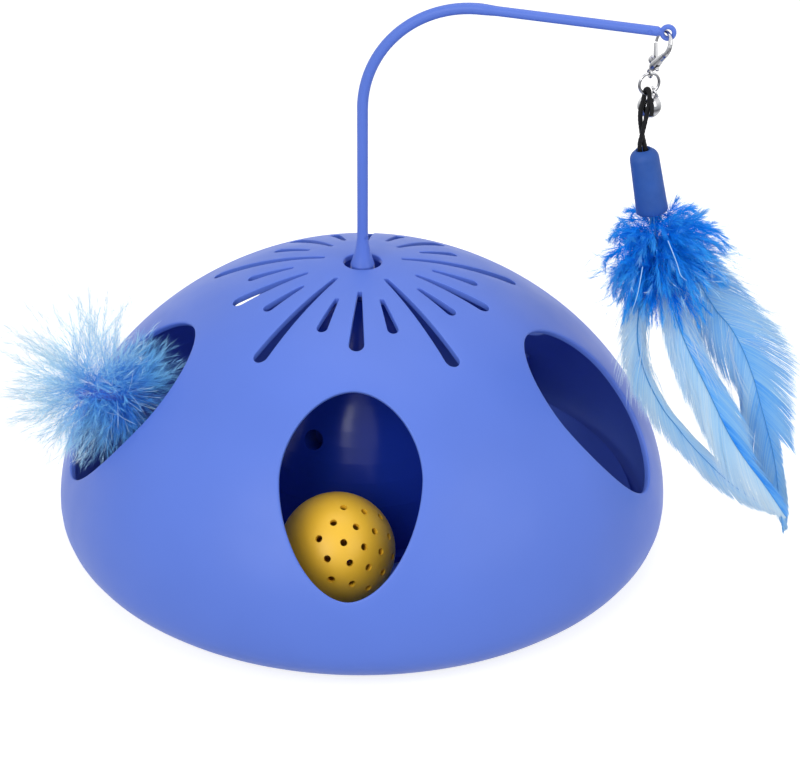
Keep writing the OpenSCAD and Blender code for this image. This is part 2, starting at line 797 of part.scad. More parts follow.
module gearbox_screws() {
    color(steel) {
        for (p = pillars)
            translate([p[0], p[1], plate_z + plate_t]) mirror([0, 0, 1]) screw(screw_grip);
        for (p = posts)
            translate([p[0], p[1], upper_plate_z + plate_t]) mirror([0, 0, 1]) screw(screw_grip);
    }
}

module gear_axles() {
    color(steel)
        for (p = [first_at, second_at])
            translate([p[0], p[1], plate_z])
                cylinder(d = axle_d, h = upper_plate_z + plate_t - plate_z);
}

module shaft_bush() {
    color("goldenrod")
        translate([0, 0, upper_plate_z + plate_t])
            difference() {
                union() {
                    cylinder(d = bush_flange_d, h = bush_flange_h);
                    translate([0, 0, -bush_h + bush_flange_h])
                        cylinder(d = bush_d, h = bush_h - bush_flange_h);
                }
                translate([0, 0, -bush_h]) cylinder(d = shaft_d + 2 * run, h = 2 * bush_h);
            }
}

// One gear outline: straight-sided teeth, thinned for backlash
function gear_outline(teeth, turn) =
    let (pitch = gear_mod * teeth / 2, step = 360 / teeth, half = 0.205 * step)
        [for (i = [0 : teeth - 1], p = [
            [pitch - 1.25 * gear_mod, -1.32 * half], [pitch, -half], [pitch + 0.55 * gear_mod, -0.66 * half],
            [pitch + gear_mod, -0.36 * half], [pitch + gear_mod, 0.36 * half],
            [pitch + 0.55 * gear_mod, 0.66 * half], [pitch, half], [pitch - 1.25 * gear_mod, 1.32 * half]])
            let (a = turn + i * step + p[1]) p[0] * [cos(a), sin(a)]];

module toothed(teeth, turn, h) {
    linear_extrude(h) polygon(gear_outline(teeth, turn));
}

// Turn that puts a tooth gap where another gear's tooth points
function gap_turn(angle, teeth) = angle + 180 + 180 / teeth;

module compound_gear(at, z, wheel_turn, pinion_turn) {
    hub = gear_mod * (pinion_teeth - 3);
    bottom = plate_z + plate_t + end_play;
    top = upper_plate_z - end_play;
    translate([at[0], at[1], 0])
        difference() {
            union() {
                translate([0, 0, z]) toothed(wheel_teeth, wheel_turn, gear_face);
                translate([0, 0, z + gear_face]) toothed(pinion_teeth, pinion_turn, gear_face + 1.5);
                translate([0, 0, bottom]) cylinder(d = hub, h = top - bottom);
            }
            translate([0, 0, plate_z]) cylinder(d = axle_d + 2 * run, h = upper_plate_z);
        }
}

module second_gear() {
    color(nylon)
        compound_gear(second_at, second_z, first_angle, gap_turn(second_angle, pinion_teeth));
}

module first_gear() {
    color(nylon)
        compound_gear(first_at, first_z, pinion_angle, gap_turn(first_angle, pinion_teeth));
}

module pinion_gear() {
    color("gold")
        translate([pinion_at[0], pinion_at[1], gear_z])
            difference() {
                toothed(pinion_teeth, gap_turn(pinion_angle, pinion_teeth), gear_face + 1);
                translate([0, 0, -1]) cylinder(d = axle_d + 0.02, h = gear_face + 3);
            }
}

module motor_shaft() {
    color(steel)
        translate([pinion_at[0], pinion_at[1], plate_z - 4])
            cylinder(d = axle_d, h = gear_z + gear_face + 1 - plate_z + 4);
}

module motor_can() {
    flat = 0.75 * motor_d;
    color(steel)
        translate([pinion_at[0], pinion_at[1], motor_z])
            difference() {
                intersection() {
                    cylinder(d = motor_d, h = motor_len);
                    translate([-motor_d / 2, -flat / 2, 0]) cube([motor_d, flat, motor_len]);
                }
                translate([0, 0, motor_len - 5]) cylinder(d = axle_d + 2 * run, h = 6);
            }
}

module motor_cap() {
    color("black")
        translate([pinion_at[0], pinion_at[1], motor_z - motor_cap_h])
            cylinder(d = 0.74 * motor_d, h = motor_cap_h);
}

module output_shaft() {
    color(steel)
        translate([0, 0, plate_z]) cylinder(d = shaft_d, h = hub_z + shaft_in_hub - plate_z);
}

module output_gear() {
    bottom = plate_z + plate_t + end_play;
    color(nylon)
        difference() {
            union() {
                translate([0, 0, output_z]) toothed(output_teeth, second_angle, gear_face);
                translate([0, 0, bottom]) cylinder(d = shaft_d + 1.6, h = output_z + gear_face - bottom);
            }
            cylinder(d = shaft_d + 0.02, h = upper_plate_z);
        }
}

module wand_hub() {
    color(deep_blue)
        translate([0, 0, hub_z])
            difference() {
                cylinder(d = hub_d, h = hub_top_z - hub_z);
                translate([0, 0, -1]) cylinder(d = shaft_d + 0.02, h = shaft_in_hub + 1);
                translate([0, 0, hub_top_z - hub_z - spigot_len - spigot_end_gap])
                    cylinder(d = spigot_d + 2 * run, h = spigot_len + spigot_end_gap + 1);
            }
}

module wand() {
    flare = [for (i = [0 : flare_steps]) let (t = i / flare_steps)
        [rod_r + (flare_d / 2 - rod_r) * pow(1 - t, flare_pow),
         flare_z + flare_straight + flare_len * t]];
    color(blue)
        in_wand_frame()
            difference() {
                union() {
                    rotate_extrude()
                        polygon(concat(
                            [[0, flare_z - spigot_len], [spigot_d / 2, flare_z - spigot_len],
                             [spigot_d / 2, flare_z], [flare_d / 2, flare_z]],
                            flare, [[rod_r, bend_z + bend_lap], [0, bend_z + bend_lap]]));
                    translate([bend_r, 0, bend_z])
                        rotate([90, 0, 0])
                            rotate([0, 0, 90 - droop])
                                rotate_extrude(angle = 90 + droop)
                                    translate([bend_r, 0]) circle(r = rod_r + bend_swell);
                    on_wand_end()
                        rotate_extrude()
                            polygon([[0, -bend_lap], [rod_r, -bend_lap], [rod_r, bend_lap],
                                     [end_d / 2, end_taper], [end_d / 2, end_len - eye_r - eye_taper],
                                     [eye_half_t - 0.1, end_len - eye_r], [0, end_len - eye_r]]);
                    translate([eye_x, 0, eye_z])
                        rotate([90, 0, 0]) rotate_extrude() polygon(eye_section);
                }
                on_wand_end()
                    translate([0, mark_depth - end_d / 2, end_len - mark_from_eye])
                        rotate([90, 0, 0]) cylinder(d = mark_d, h = end_d);
                rotate([0, 0, foot_mark_turn])
                    translate([0, mark_depth - rod_r, flare_z + foot_mark_z])
                        rotate([90, 0, 0]) cylinder(d = mark_d, h = flare_d);
            }
}

// Something drawn along +Z, placed on the straight rod beyond the bend
module on_wand_end() {
    translate([bend_end_x, 0, bend_end_z]) rotate([0, 90 + droop, 0]) children();
}

module in_clasp_frame() {
    in_wand_frame()
        translate([eye_x, 0, eye_z])
            rotate([0, clasp_tilt, 0]) rotate([0, 0, -clasp_twist]) children();
}

// A flat piece drawn with X across and Z up, centred on its thickness
module upright(t) {
    translate([0, t / 2, 0]) rotate([90, 0, 0]) linear_extrude(t) children();
}

module clasp_body() {
    color(nickel)
        in_clasp_frame()
            difference() {
                union() {
                    swept_tube(claw_line, claw_width, [0, 1, 0], 16);
                    translate([lobe_at[0], 0, lobe_at[1]]) sphere(r = lobe_r);
                    translate([0, 0, -clasp_len])
                        rotate([0, 0, clasp_twist]) rotate([0, -clasp_tilt, 0]) rotate([0, 0, -ring_twist])
                            rotate([0, 90, 0]) rotate_extrude() translate([link_r, 0]) circle(r = link_wire_r);
                }
                upright(gate_slot) polygon([for (p = gate_room) p - [0, clasp_len]]);
                translate([gate_pivot[0], clasp_t, gate_pivot[1]])
                    rotate([90, 0, 0]) cylinder(d = clasp_pin_d + 0.02, h = 2 * clasp_t);
            }
}

module clasp_pin() {
    color(nickel)
        in_clasp_frame()
            translate([gate_pivot[0], clasp_t / 2, gate_pivot[1]])
                rotate([90, 0, 0]) cylinder(d = clasp_pin_d, h = clasp_t);
}

module clasp_gate() {
    along = unit(gate_tip - gate_pivot);
    across = [along[1], -along[0]] * gate_w / 2;
    back = unit(gate_tab - gate_pivot);
    under = [back[1], -back[0]] * gate_w / 2;
    color(nickel)
        in_clasp_frame()
            difference() {
                union() {
                    upright(gate_t)
                        polygon([gate_pivot + 1.4 * across, gate_tip + 0.7 * across,
                                 gate_tip - 0.7 * across, gate_pivot - 1.4 * across]);
                    upright(gate_t)
                        polygon([gate_pivot + under, gate_tab + under, gate_tab - under, gate_pivot - under]);
                    translate([gate_pivot[0], gate_t / 2, gate_pivot[1]])
                        rotate([90, 0, 0]) cylinder(d = gate_hub_d, h = gate_t);
                    translate([gate_tab[0], 0, gate_tab[1]]) sphere(d = 1.3);
                }
                translate([gate_pivot[0], clasp_t, gate_pivot[1]])
                    rotate([90, 0, 0]) cylinder(d = clasp_pin_d + 2 * run, h = 2 * clasp_t);
            }
}

module in_ring_frame() {
    in_wand_frame() translate([link_x, 0, ring_z]) rotate([0, 0, -ring_twist]) children();
}

module jump_ring() {
    color(nickel)
        in_ring_frame()
            rotate([90, 0, 0])
                rotate([0, 0, 150])
                    rotate_extrude(angle = 356) translate([ring_r, 0]) circle(r = ring_wire_r);
}

// The bell's loop sits round the ring's wire, and the bell hangs below
module in_bell_frame() {
    in_ring_frame()
        translate([ring_r * sin(bell_on_ring), 0, -ring_r * cos(bell_on_ring)])
            rotate([bell_tilt, 0, 0]) children();
}

module bell_shell() {
    color(nickel)
        in_bell_frame()
            difference() {
                union() {
                    translate([0, 0, -bell_loop_drop])
                        rotate([0, 90 - bell_loop_lean, 0])
                            rotate_extrude() translate([bell_loop_r, 0]) circle(r = bell_loop_wire_r);
                    bar([loop_low_x, 0, -bell_loop_drop - bell_loop_r * cos(bell_loop_lean)],
                        [loop_low_x, 0, -bell_drop + 0.9 * bell_r], 2.6 * bell_loop_wire_r);
                    translate([0, 0, -bell_drop]) sphere(r = bell_r);
                }
                translate([0, 0, -bell_drop]) {
                    sphere(r = bell_r - bell_wall);
                    for (a = [0, 90])
                        rotate([0, 0, a])
                            translate([-0.8 * bell_r, -bell_slit / 2, -2 * bell_r])
                                cube([1.6 * bell_r, bell_slit, 2 * bell_r - 0.4 * bell_r]);
                    for (a = [0 : 90 : 270])
                        rotate([0, 0, a])
                            translate([0.8 * bell_r, 0, -1.2 * bell_r])
                                cylinder(r = bell_slit, h = 0.9 * bell_r);
                }
            }
}

module bell_pellet() {
    color(steel)
        in_bell_frame()
            translate([0, 0, -bell_drop - bell_r + bell_wall + slide_gap + pellet_r])
                sphere(r = pellet_r);
}

module lure_cord() {
    color("black") in_wand_frame() swept_tube(cord_route, cord_d, cord_side);
}

// The sleeve's axis points down its length along -Z
module in_sleeve_frame() {
    in_wand_frame() translate(sleeve_top) rotate([0, -sleeve_lean, 0]) children();
}

module lure_sleeve() {
    top_r = sleeve_top_d / 2;
    color("steelblue")
        in_sleeve_frame()
            difference() {
                rotate_extrude()
                    polygon(concat(
                        [[0, 0]],
                        [for (i = [0 : sleeve_round_steps]) let (a = 90 - 90 * i / sleeve_round_steps)
                            [top_r - sleeve_round + sleeve_round * cos(a), sleeve_round * (sin(a) - 1)]],
                        [[sleeve_d / 2, -sleeve_len], [0, -sleeve_len]]));
                translate([0, 0, -cord_bore_len]) cylinder(d = cord_bore_d, h = cord_bore_len + 1);
                translate([0, 0, -sleeve_len - 1]) cylinder(d = quill_bore_d, h = quill_len + 1);
            }
}

module quill_plug() {
    color("tan")
        in_sleeve_frame()
            translate([0, 0, -sleeve_len]) cylinder(d = quill_bore_d - 2 * run, h = quill_len - run);
}

module collar_puff() {
    centre = -sleeve_len - collar_half_h;
    color("dodgerblue")
        in_sleeve_frame()
            intersection() {
                rotate_extrude()
                    polygon([for (i = [0 : collar_steps]) let (t = 90 - 180 * i / collar_steps)
                        [collar_r * pow(cos(t), 0.9), centre + (collar_half_h + 1) * sin(t)]]);
                translate([0, 0, -sleeve_len - collar_gap - 3 * collar_half_h])
                    cylinder(r = 2 * collar_r, h = 3 * collar_half_h);
            }
}

// Half width of a feather at a share t of its length
function vane(t, w) =
    t < vane_start ? quill_half_w
        : quill_half_w + w * pow(sin(180 * pow((t - vane_start) / (1 - vane_start), 0.75)), 0.8);
function normal(p, i) = let (h = heading(p, i)) [h[1], -h[0]];
module feather(line, half_w, side, lean) {
    p = curve(line, 2);
    last = len(p) - 1;
    outline = concat(
        [for (i = [0 : last]) p[i] + normal(p, i) * (i == last ? 0.4 : vane(i / last, half_w[0]))],
        [for (i = [last : -1 : 0]) p[i] - normal(p, i) * (i == last ? 0.4 : vane(i / last, half_w[1]))]);
    color(sky)
        in_wand_frame()
            translate([0, side, feather_top_z])
                rotate([-lean, 0, 0])
                    translate([0, 0, -feather_top_z]) upright(feather_t) polygon(outline);
}

module feather_broad() feather(broad_line, broad_half_w, broad_side, broad_lean);
module feather_middle() feather(middle_line, middle_half_w, middle_side, middle_lean);
module feather_narrow() feather(narrow_line, narrow_half_w, narrow_side, narrow_lean);

// The puff's stem runs along +X from the socket, zero at the opening's middle
module on_stem() {
    at_bearing(puff_bearing)
        translate([socket_r, 0, socket_z])
            rotate([0, -socket_tilt, 0]) translate([-stem_start, 0, 0]) rotate([0, 90, 0]) children();
}

module puff_stem() {
    plug_start = stem_start - socket_depth + socket_wall + run;
    plug_end = puff_shape[0][0] - slide_gap;
    color(blue)
        on_stem() {
            translate([0, 0, plug_start]) cylinder(d = stem_d, h = plug_end - plug_start);
            translate([0, 0, plug_end - 1]) cylinder(d = stem_rod_d, h = stem_end - plug_end + 1);
            translate([0, 0, stem_end]) sphere(d = stem_ball_d);
        }
}

module side_puff() {
    shape = curve(puff_shape, 2);
    color(sky)
        on_stem()
            difference() {
                rotate_extrude()
                    polygon(concat([[0, puff_shape[0][0]]], [for (p = shape) [max(p[1], 0), p[0]]]));
                translate([0, 0, puff_shape[0][0] - 1])
                    cylinder(d = stem_rod_d + 2 * run, h = stem_end - puff_shape[0][0] + 1);
                translate([0, 0, stem_end]) sphere(d = stem_ball_d + 2 * run);
            }
}

module in_ball_frame() {
    at_bearing(ball_bearing)
        translate([ball_path_r, 0, ball_z])
            rotate([0, 0, 90 - ball_bearing])
                rotate([0, 90 - ball_pole_up, ball_pole_bearing - 90]) children();
}

module ball_half() {
    difference() {
        sphere(r = ball_r, $fn = 96);
        sphere(r = ball_r - ball_wall, $fn = 96);
        translate([0, 0, -2 * ball_r]) cube(4 * ball_r, center = true);
        for (ring = hole_rings, k = [0 : ring[1] - 1])
            rotate([0, ring[0], ring[2] + 60 * k])
                translate([0, 0, ball_r - 3 * ball_wall])
                    cylinder(d = ball_hole_d, h = 4 * ball_wall, $fn = 24);
    }
}

module ball_half_a() color("orange") in_ball_frame() ball_half();
module ball_half_b() color("orange") in_ball_frame() rotate([180, 0, 30]) ball_half();

module ball_rattle() {
    color("gold")
        at_bearing(ball_bearing)
            translate([ball_path_r, 0, ball_z - ball_r + ball_wall + slide_gap + rattle_r])
                sphere(r = rattle_r);
}

module battery_cell(y, flip) {
    translate([0, y, cell_z])
        rotate([0, 90, flip])
            translate([0, 0, -cell_len / 2]) {
                cylinder(d = cell_d, h = cell_len - 1);
                cylinder(d = 5.5, h = cell_len);
            }
}

module battery_cell_a() color("darkslategray") battery_cell(-cell_pitch / 2, 0);
module battery_cell_b() color("darkslategray") battery_cell(cell_pitch / 2, 180);

module contact_dish(x, y) {
    reach = bay_x - contact_t - cell_len / 2 - 0.1;
    translate([x, y, cell_z])
        rotate([0, x > 0 ? -90 : 90, 0]) cylinder(d = contact_dish_d, h = reach + contact_t / 2);
}

module battery_contacts() {
    color(steel) {
        for (y = [-1, 1]) {
            translate([contact_x - contact_t / 2, y * cell_pitch / 2 - contact_w / 2, cell_z - contact_w / 2])
                cube([contact_t, contact_w, contact_w]);
            contact_dish(contact_x, y * cell_pitch / 2);
            translate([contact_x - contact_t / 2, y * cell_pitch / 2 - contact_tab_w / 2, cell_z])
                cube([contact_t, contact_tab_w, bay_top_z + 2 - cell_z]);
        }
        translate([-contact_x - contact_t / 2, -cell_pitch / 2 - contact_w / 2, cell_z - contact_w / 2])
            cube([contact_t, cell_pitch + contact_w, contact_w]);
        for (y = [-1, 1]) contact_dish(-contact_x, y * cell_pitch / 2);
    }
}

module circuit_board() {
    color("seagreen")
        translate([board_at[0], board_at[1], board_z]) {
            translate([-board_size[0] / 2, -board_size[1] / 2, 0]) cube(board_size);
            translate([-8, -3, board_size[2] - 0.2]) cube([7, 5, 1.8]);
            translate([6, 2, board_size[2] - 0.2]) cylinder(d = 5, h = 7);
        }
}

board_top_z = board_z + board_size[2];
board_edge_y = board_at[1] + board_size[1] / 2;
lead_end_y = pinion_at[1] - 0.375 * motor_d - slide_gap;
motor_lead_route = [
    [0, board_edge_y - 2, board_top_z], [0, board_edge_y - 2, board_top_z + 3],
    [0, board_edge_y, board_top_z + 5.2], [0, board_edge_y + 2.6, board_top_z + 5.4],
    [0, lead_end_y - 1.6, board_top_z + 5], [0, lead_end_y, board_top_z + 5]
];

module motor_leads() {
    for (k = [0, 1])
        color(k == 0 ? "red" : "black")
            translate([k == 0 ? -3 : 2.6, 0, 0])
                swept_tube(curve(motor_lead_route, 2), lead_d, [1, 0, 0]);
}

module battery_leads() {
    board_x = board_at[0] + board_size[0] / 2 - 2;
    tab_top = bay_top_z + 2;
    for (k = [0, 1]) {
        y = (k == 0 ? -1 : 1) * cell_pitch / 2;
        x = contact_x;
        in_y = board_edge_y - (k == 0 ? 8 : 3);
        color(k == 0 ? "red" : "black")
            swept_tube(curve([
                [x, y, tab_top], [x, y, tab_top + 3], [x - 2, y - k * 2, tab_top + 5.5],
                [x - 1.5, (y + in_y) / 2, tab_top + 6.5], [board_x + 2.2, in_y, tab_top + 5],
                [board_x, in_y, board_top_z + 3], [board_x, in_y, board_top_z]], 2),
                lead_d, [0.3, 1, 0]);
    }
}

module switch_body() {
    color("black")
        translate([0, switch_y, switch_z])
            difference() {
                translate([-switch_x_len / 2, -switch_y_len / 2, 0]) cube([switch_x_len, switch_y_len, switch_h]);
                translate([-knob_x / 2 - slide_gap, -knob_y / 2 - slide_gap, -1])
                    cube([knob_x + knob_travel + 2 * slide_gap, knob_y + 2 * slide_gap, 3]);
            }
}

module switch_knob() {
    color("black")
        translate([-knob_x / 2, switch_y - knob_y / 2, foot_h - 1.3])
            cube([knob_x, knob_y, skin + 1.3 + 1.6]);
}

module battery_cover() {
    color(blue)
        translate([0, 0, cover_z])
            difference() {
                translate([-cover_x, -cover_y, 0]) cube([2 * cover_x + cover_tab, 2 * cover_y, cover_t - 0.1]);
                translate([cover_screw_x, 0, -1]) cylinder(d = screw_d + 2 * run, h = cover_t + 2);
                for (i = [0 : 4])
                    translate([-cover_x + 5 + 3 * i, -cover_y / 2, -1]) cube([1.4, cover_y, 1.6]);
            }
}

module cover_screw() {
    color(steel) translate([cover_screw_x, 0, cover_z]) screw(screw_grip - 3);
}

dome_shell();
base_tray();
battery_box();
foot_ring();
dome_screws();
core_cover();
core_screws();
gear_plate_lower();
gear_plate_upper();
plate_posts();
gearbox_screws();
gear_axles();
shaft_bush();
motor_can();
motor_cap();
battery_cell_a();
battery_cell_b();
battery_contacts();
circuit_board();
motor_leads();
battery_leads();
switch_body();
puff_stem();
side_puff();
output_shaft();
output_gear();
wand_hub();
second_gear();
first_gear();
pinion_gear();
motor_shaft();
wand();
clasp_body();
clasp_pin();
clasp_gate();
jump_ring();
bell_shell();
bell_pellet();
lure_cord();
lure_sleeve();
quill_plug();
collar_puff();
feather_broad();
feather_middle();
feather_narrow();
ball_half_a();
ball_half_b();
ball_rattle();
battery_cover();
cover_screw();
switch_knob();
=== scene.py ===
"""Looks of an automatic cat feather toy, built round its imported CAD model.

Sizes inside the makers are in millimetres, in the CAD model's own frame: the origin is on the
floor under the wand's turning axis, +Z is up and the front opening faces -Y.
"""

import math
import random
from bisect import bisect_right

import bmesh
import bpy
from bpy.props import FloatProperty, FloatVectorProperty, IntProperty, PointerProperty
from mathutils import Matrix, Vector, kdtree
from mathutils.geometry import delaunay_2d_cdt


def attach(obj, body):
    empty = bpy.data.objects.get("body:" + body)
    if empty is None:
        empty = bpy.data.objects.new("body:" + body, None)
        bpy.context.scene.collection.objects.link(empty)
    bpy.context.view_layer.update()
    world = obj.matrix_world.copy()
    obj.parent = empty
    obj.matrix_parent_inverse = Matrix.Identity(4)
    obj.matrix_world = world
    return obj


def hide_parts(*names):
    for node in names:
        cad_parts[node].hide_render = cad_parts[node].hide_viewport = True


bl_info = {
    "name": "Cat Feather Toy",
    "version": (1, 0, 0),
    "blender": (4, 5, 0),
    "location": "3D View > Sidebar > Feather Toy",
    "description": "Builds the looks of an automatic cat feather toy round its CAD model",
    "category": "Object",
}

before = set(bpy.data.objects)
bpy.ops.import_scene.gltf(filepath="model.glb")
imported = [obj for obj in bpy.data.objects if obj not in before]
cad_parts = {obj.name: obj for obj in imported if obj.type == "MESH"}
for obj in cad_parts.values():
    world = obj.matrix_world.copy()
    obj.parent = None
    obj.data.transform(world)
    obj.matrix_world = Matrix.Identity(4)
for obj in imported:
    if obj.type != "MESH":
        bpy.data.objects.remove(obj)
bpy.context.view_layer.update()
MM = 0.001


def turn(axis, degrees):
    """Rotation matrix about an axis."""
    return Matrix.Rotation(math.radians(degrees), 4, axis)


def shift(x, y, z):
    """Translation matrix."""
    return Matrix.Translation((x, y, z))


# Frames of the pieces, in millimetres, from the part's own values
WAND_TURN = -8.0
BEND_Z, BEND_R, DROOP, REACH = 170.0, 39.0, 3.6, 104.0
BEND_END = (BEND_R * (1 + math.sin(math.radians(DROOP))),
            BEND_Z + BEND_R * math.cos(math.radians(DROOP)))
END_LEN = (REACH - BEND_END[0]) / math.cos(math.radians(DROOP))
EYE = Vector((REACH, 0, BEND_END[1] - END_LEN * math.sin(math.radians(DROOP))))
CLASP_TILT, CLASP_LEN = 19.0, 15.6
LINK_X = EYE.x - CLASP_LEN * math.sin(math.radians(CLASP_TILT))
LINK_Z = EYE.z - CLASP_LEN * math.cos(math.radians(CLASP_TILT))

SLEEVE_X, SLEEVE_Z, SLEEVE_LEAN = 98.4, 162.6, -11.5
STEM_BEARING, STEM_RISE = -72.0, 14.0
STEM_ROOT_R, STEM_ROOT_Z, STEM_END_R = 34.0, 54.0, 93.0

WAND_FRAME = turn('Z', WAND_TURN)
SLEEVE_FRAME = WAND_FRAME @ shift(SLEEVE_X, 0, SLEEVE_Z) @ turn('Y', SLEEVE_LEAN)
STEM_FRAME = (turn('Z', STEM_BEARING - 90) @ shift(STEM_ROOT_R, 0, STEM_ROOT_Z)
              @ turn('Y', -STEM_RISE)
              @ shift((STEM_END_R - STEM_ROOT_R) / math.cos(math.radians(STEM_RISE)), 0, 0))


class DomeSettings(bpy.types.PropertyGroup):
    """Shape and finish of the dome."""
    radius: FloatProperty(name="Radius", description="Widest radius of the dome",
                          default=0.115, unit='LENGTH')
    rise: FloatProperty(name="Rise", description="Height of the dome above its widest point",
                        default=0.0933, unit='LENGTH')
    wall: FloatProperty(name="Wall", description="Thickness of the dome's wall",
                        default=0.0024, unit='LENGTH')
    rim: FloatProperty(name="Rim", description="Rounding of the openings' rims",
                       default=0.0009, unit='LENGTH')
    mesh_step: FloatProperty(name="Mesh step", description="Spacing of the dome's mesh points",
                             default=0.0032, unit='LENGTH')
    colour: FloatVectorProperty(name="Colour", description="Colour of the moulded shell",
                                default=(0.106, 0.198, 0.70), size=3, subtype='COLOR')
    # The core's colour is the shell's blue darkened: painted shade of the dome's unlit inside
    core_shaded_colour: FloatVectorProperty(name="Core colour", description="Colour of the motor core",
                                     default=(0.012, 0.042, 0.40), size=3, subtype='COLOR')


class LureSettings(bpy.types.PropertyGroup):
    """Finish of the feathers on the wand."""
    collar_plumes: IntProperty(name="Collar plumes", description="Plumes of down in the collar",
                               default=190, min=10)
    barb_step: FloatProperty(name="Barb step", description="Spacing of barbs along a feather",
                             default=0.00014, unit='LENGTH')
    collar_root: FloatVectorProperty(name="Collar root", description="Colour deep in the collar",
                                     default=(0.000, 0.24, 1.0), size=3, subtype='COLOR')
    collar_tip: FloatVectorProperty(name="Collar tip", description="Colour of the collar's tips",
                                    default=(0.06, 0.46, 1.0), size=3, subtype='COLOR')
    collar_middle: FloatVectorProperty(name="Collar middle", description="Colour between the two",
                                       default=(0.004, 0.32, 1.0), size=3, subtype='COLOR')
    collar_end: FloatVectorProperty(name="Collar end", description="Colour of the longest strands",
                                    default=(0.50, 0.76, 0.98), size=3, subtype='COLOR')
    vane_deep: FloatVectorProperty(name="Vane deep", description="Darkest colour of a feather",
                                   default=(0.008, 0.25, 0.95), size=3, subtype='COLOR')
    vane_root: FloatVectorProperty(name="Vane root", description="Colour beside a feather's shaft",
                                   default=(0.15, 0.48, 1.0), size=3, subtype='COLOR')
    vane_tip: FloatVectorProperty(name="Vane tip", description="Colour at a feather's edge",
                                  default=(0.40, 0.70, 1.0), size=3, subtype='COLOR')
    vane_end: FloatVectorProperty(name="Vane end", description="Palest colour of a feather",
                                  default=(0.74, 0.89, 1.0), size=3, subtype='COLOR')
    shaft_colour: FloatVectorProperty(name="Shaft colour", description="Colour of the shafts",
                                      default=(0.07, 0.32, 0.72), size=3, subtype='COLOR')
    sleeve_colour: FloatVectorProperty(name="Sleeve colour", description="Colour of the sleeve",
                                       default=(0.012, 0.082, 0.37), size=3, subtype='COLOR')


class PuffSettings(bpy.types.PropertyGroup):
    """Finish of the puff in the side opening."""
    plumes: IntProperty(name="Plumes", description="Plumes of down in the puff",
                        default=420, min=10)
    root: FloatVectorProperty(name="Root", description="Colour deep in the puff",
                              default=(0.000, 0.21, 0.98), size=3, subtype='COLOR')
    middle: FloatVectorProperty(name="Middle", description="Colour half way along a plume",
                                default=(0.20, 0.60, 1.0), size=3, subtype='COLOR')
    tip: FloatVectorProperty(name="Tip", description="Colour of the tips",
                             default=(0.56, 0.84, 1.0), size=3, subtype='COLOR')
    end: FloatVectorProperty(name="End", description="Colour of the longest strands",
                             default=(0.80, 0.92, 1.0), size=3, subtype='COLOR')


class BallSettings(bpy.types.PropertyGroup):
    """Finish of the ball."""
    colour: FloatVectorProperty(name="Colour", description="Colour of the ball",
                                default=(1.0, 0.575, 0.036), size=3, subtype='COLOR')


class StageSettings(bpy.types.PropertyGroup):
    """Floor and light round the toy."""
    floor_colour: FloatVectorProperty(name="Floor", description="Colour of the floor",
                                      default=(0.55, 0.55, 0.55), size=3, subtype='COLOR')
    key_power: FloatProperty(name="Key light", description="Power of the key light",
                             default=10.2, unit='POWER')
    fill_power: FloatProperty(name="Fill light", description="Power of the fill light",
                              default=4.6, unit='POWER')
    sky: FloatProperty(name="Sky", description="Strength of the light from all round", default=0.5)


class ToySettings(bpy.types.PropertyGroup):
    """All settings of the toy."""
    dome: PointerProperty(type=DomeSettings)
    lure: PointerProperty(type=LureSettings)
    puff: PointerProperty(type=PuffSettings)
    ball: PointerProperty(type=BallSettings)
    stage: PointerProperty(type=StageSettings)


# Mesh helpers: each shape is a list of points and a list of faces

def join(*shapes):
    """One shape out of several."""
    points, faces = [], []
    for more_points, more_faces in shapes:
        start = len(points)
        points.extend(more_points)
        faces.extend(tuple(i + start for i in face) for face in more_faces)
    return points, faces


def moved(shape, matrix):
    """A shape put in another frame."""
    return [matrix @ Vector(p) for p in shape[0]], shape[1]


def circle(radius, count, lead=0.0):
    """Points of a circle as (x, y); lead turns it by a share of a step."""
    return [(radius * math.cos(a), radius * math.sin(a))
            for a in (2 * math.pi * (k + lead) / count for k in range(count))]


def band(low, high):
    """Faces between two closed rows of point numbers."""
    count = len(low)
    return [(low[k], low[(k + 1) % count], high[(k + 1) % count], high[k]) for k in range(count)]


def lathe(profile, segments):
    """A turned shape about Z from (radius, height) pairs; a radius of 0 makes one point."""
    points, rings, faces = [], [], []
    for radius, height in profile:
        if radius == 0:
            rings.append([len(points)] * segments)
            points.append(Vector((0, 0, height)))
            continue
        rings.append(range(len(points), len(points) + segments))
        points.extend(Vector((x, y, height)) for x, y in circle(radius, segments))
    for low, high in zip(rings, rings[1:]):
        corners = (tuple(dict.fromkeys(face)) for face in band(low, high))
        faces.extend(face for face in corners if len(face) > 2)
    return points, faces


def sweep(path, radii, sides, bulge=None):
    """A round tube along a path; bulge(step, share) can swell it for a braid."""
    path = [Vector(p) for p in path]
    count = len(path)
    if isinstance(radii, (int, float)):
        radii = [radii] * count
    points, faces = [], []
    side = last = None
    for i, p in enumerate(path):
        along = (path[min(i + 1, count - 1)] - path[max(i - 1, 0)]).normalized()
        if side is None:
            side = along.orthogonal().normalized()
        else:
            side = last.rotation_difference(along) @ side
        last = along
        other = along.cross(side)
        for k, (x, y) in enumerate(circle(1.0, sides)):
            r = radii[i] * (1 + (bulge(i, k / sides) if bulge else 0))
            points.append(p + r * (x * side + y * other))
    rows = [range(i * sides, (i + 1) * sides) for i in range(count)]
    for low, high in zip(rows, rows[1:]):
        faces.extend(band(low, high))
    faces.append(tuple(reversed(rows[0])))
    faces.append(tuple(rows[-1]))
    return points, faces


def smooth_path(knots, steps):
    """A rounded path through knots."""
    knots = [Vector(k) for k in knots]
    path = []
    for i in range(len(knots) - 1):
        a, b = knots[max(i - 1, 0)], knots[i]
        c, d = knots[i + 1], knots[min(i + 2, len(knots) - 1)]
        for k in range(steps):
            t = k / steps
            path.append(0.5 * (2 * b + (c - a) * t + (2 * a - 5 * b + 4 * c - d) * t * t
                               + (3 * b - a - 3 * c + d) * t ** 3))
    path.append(knots[-1])
    return path


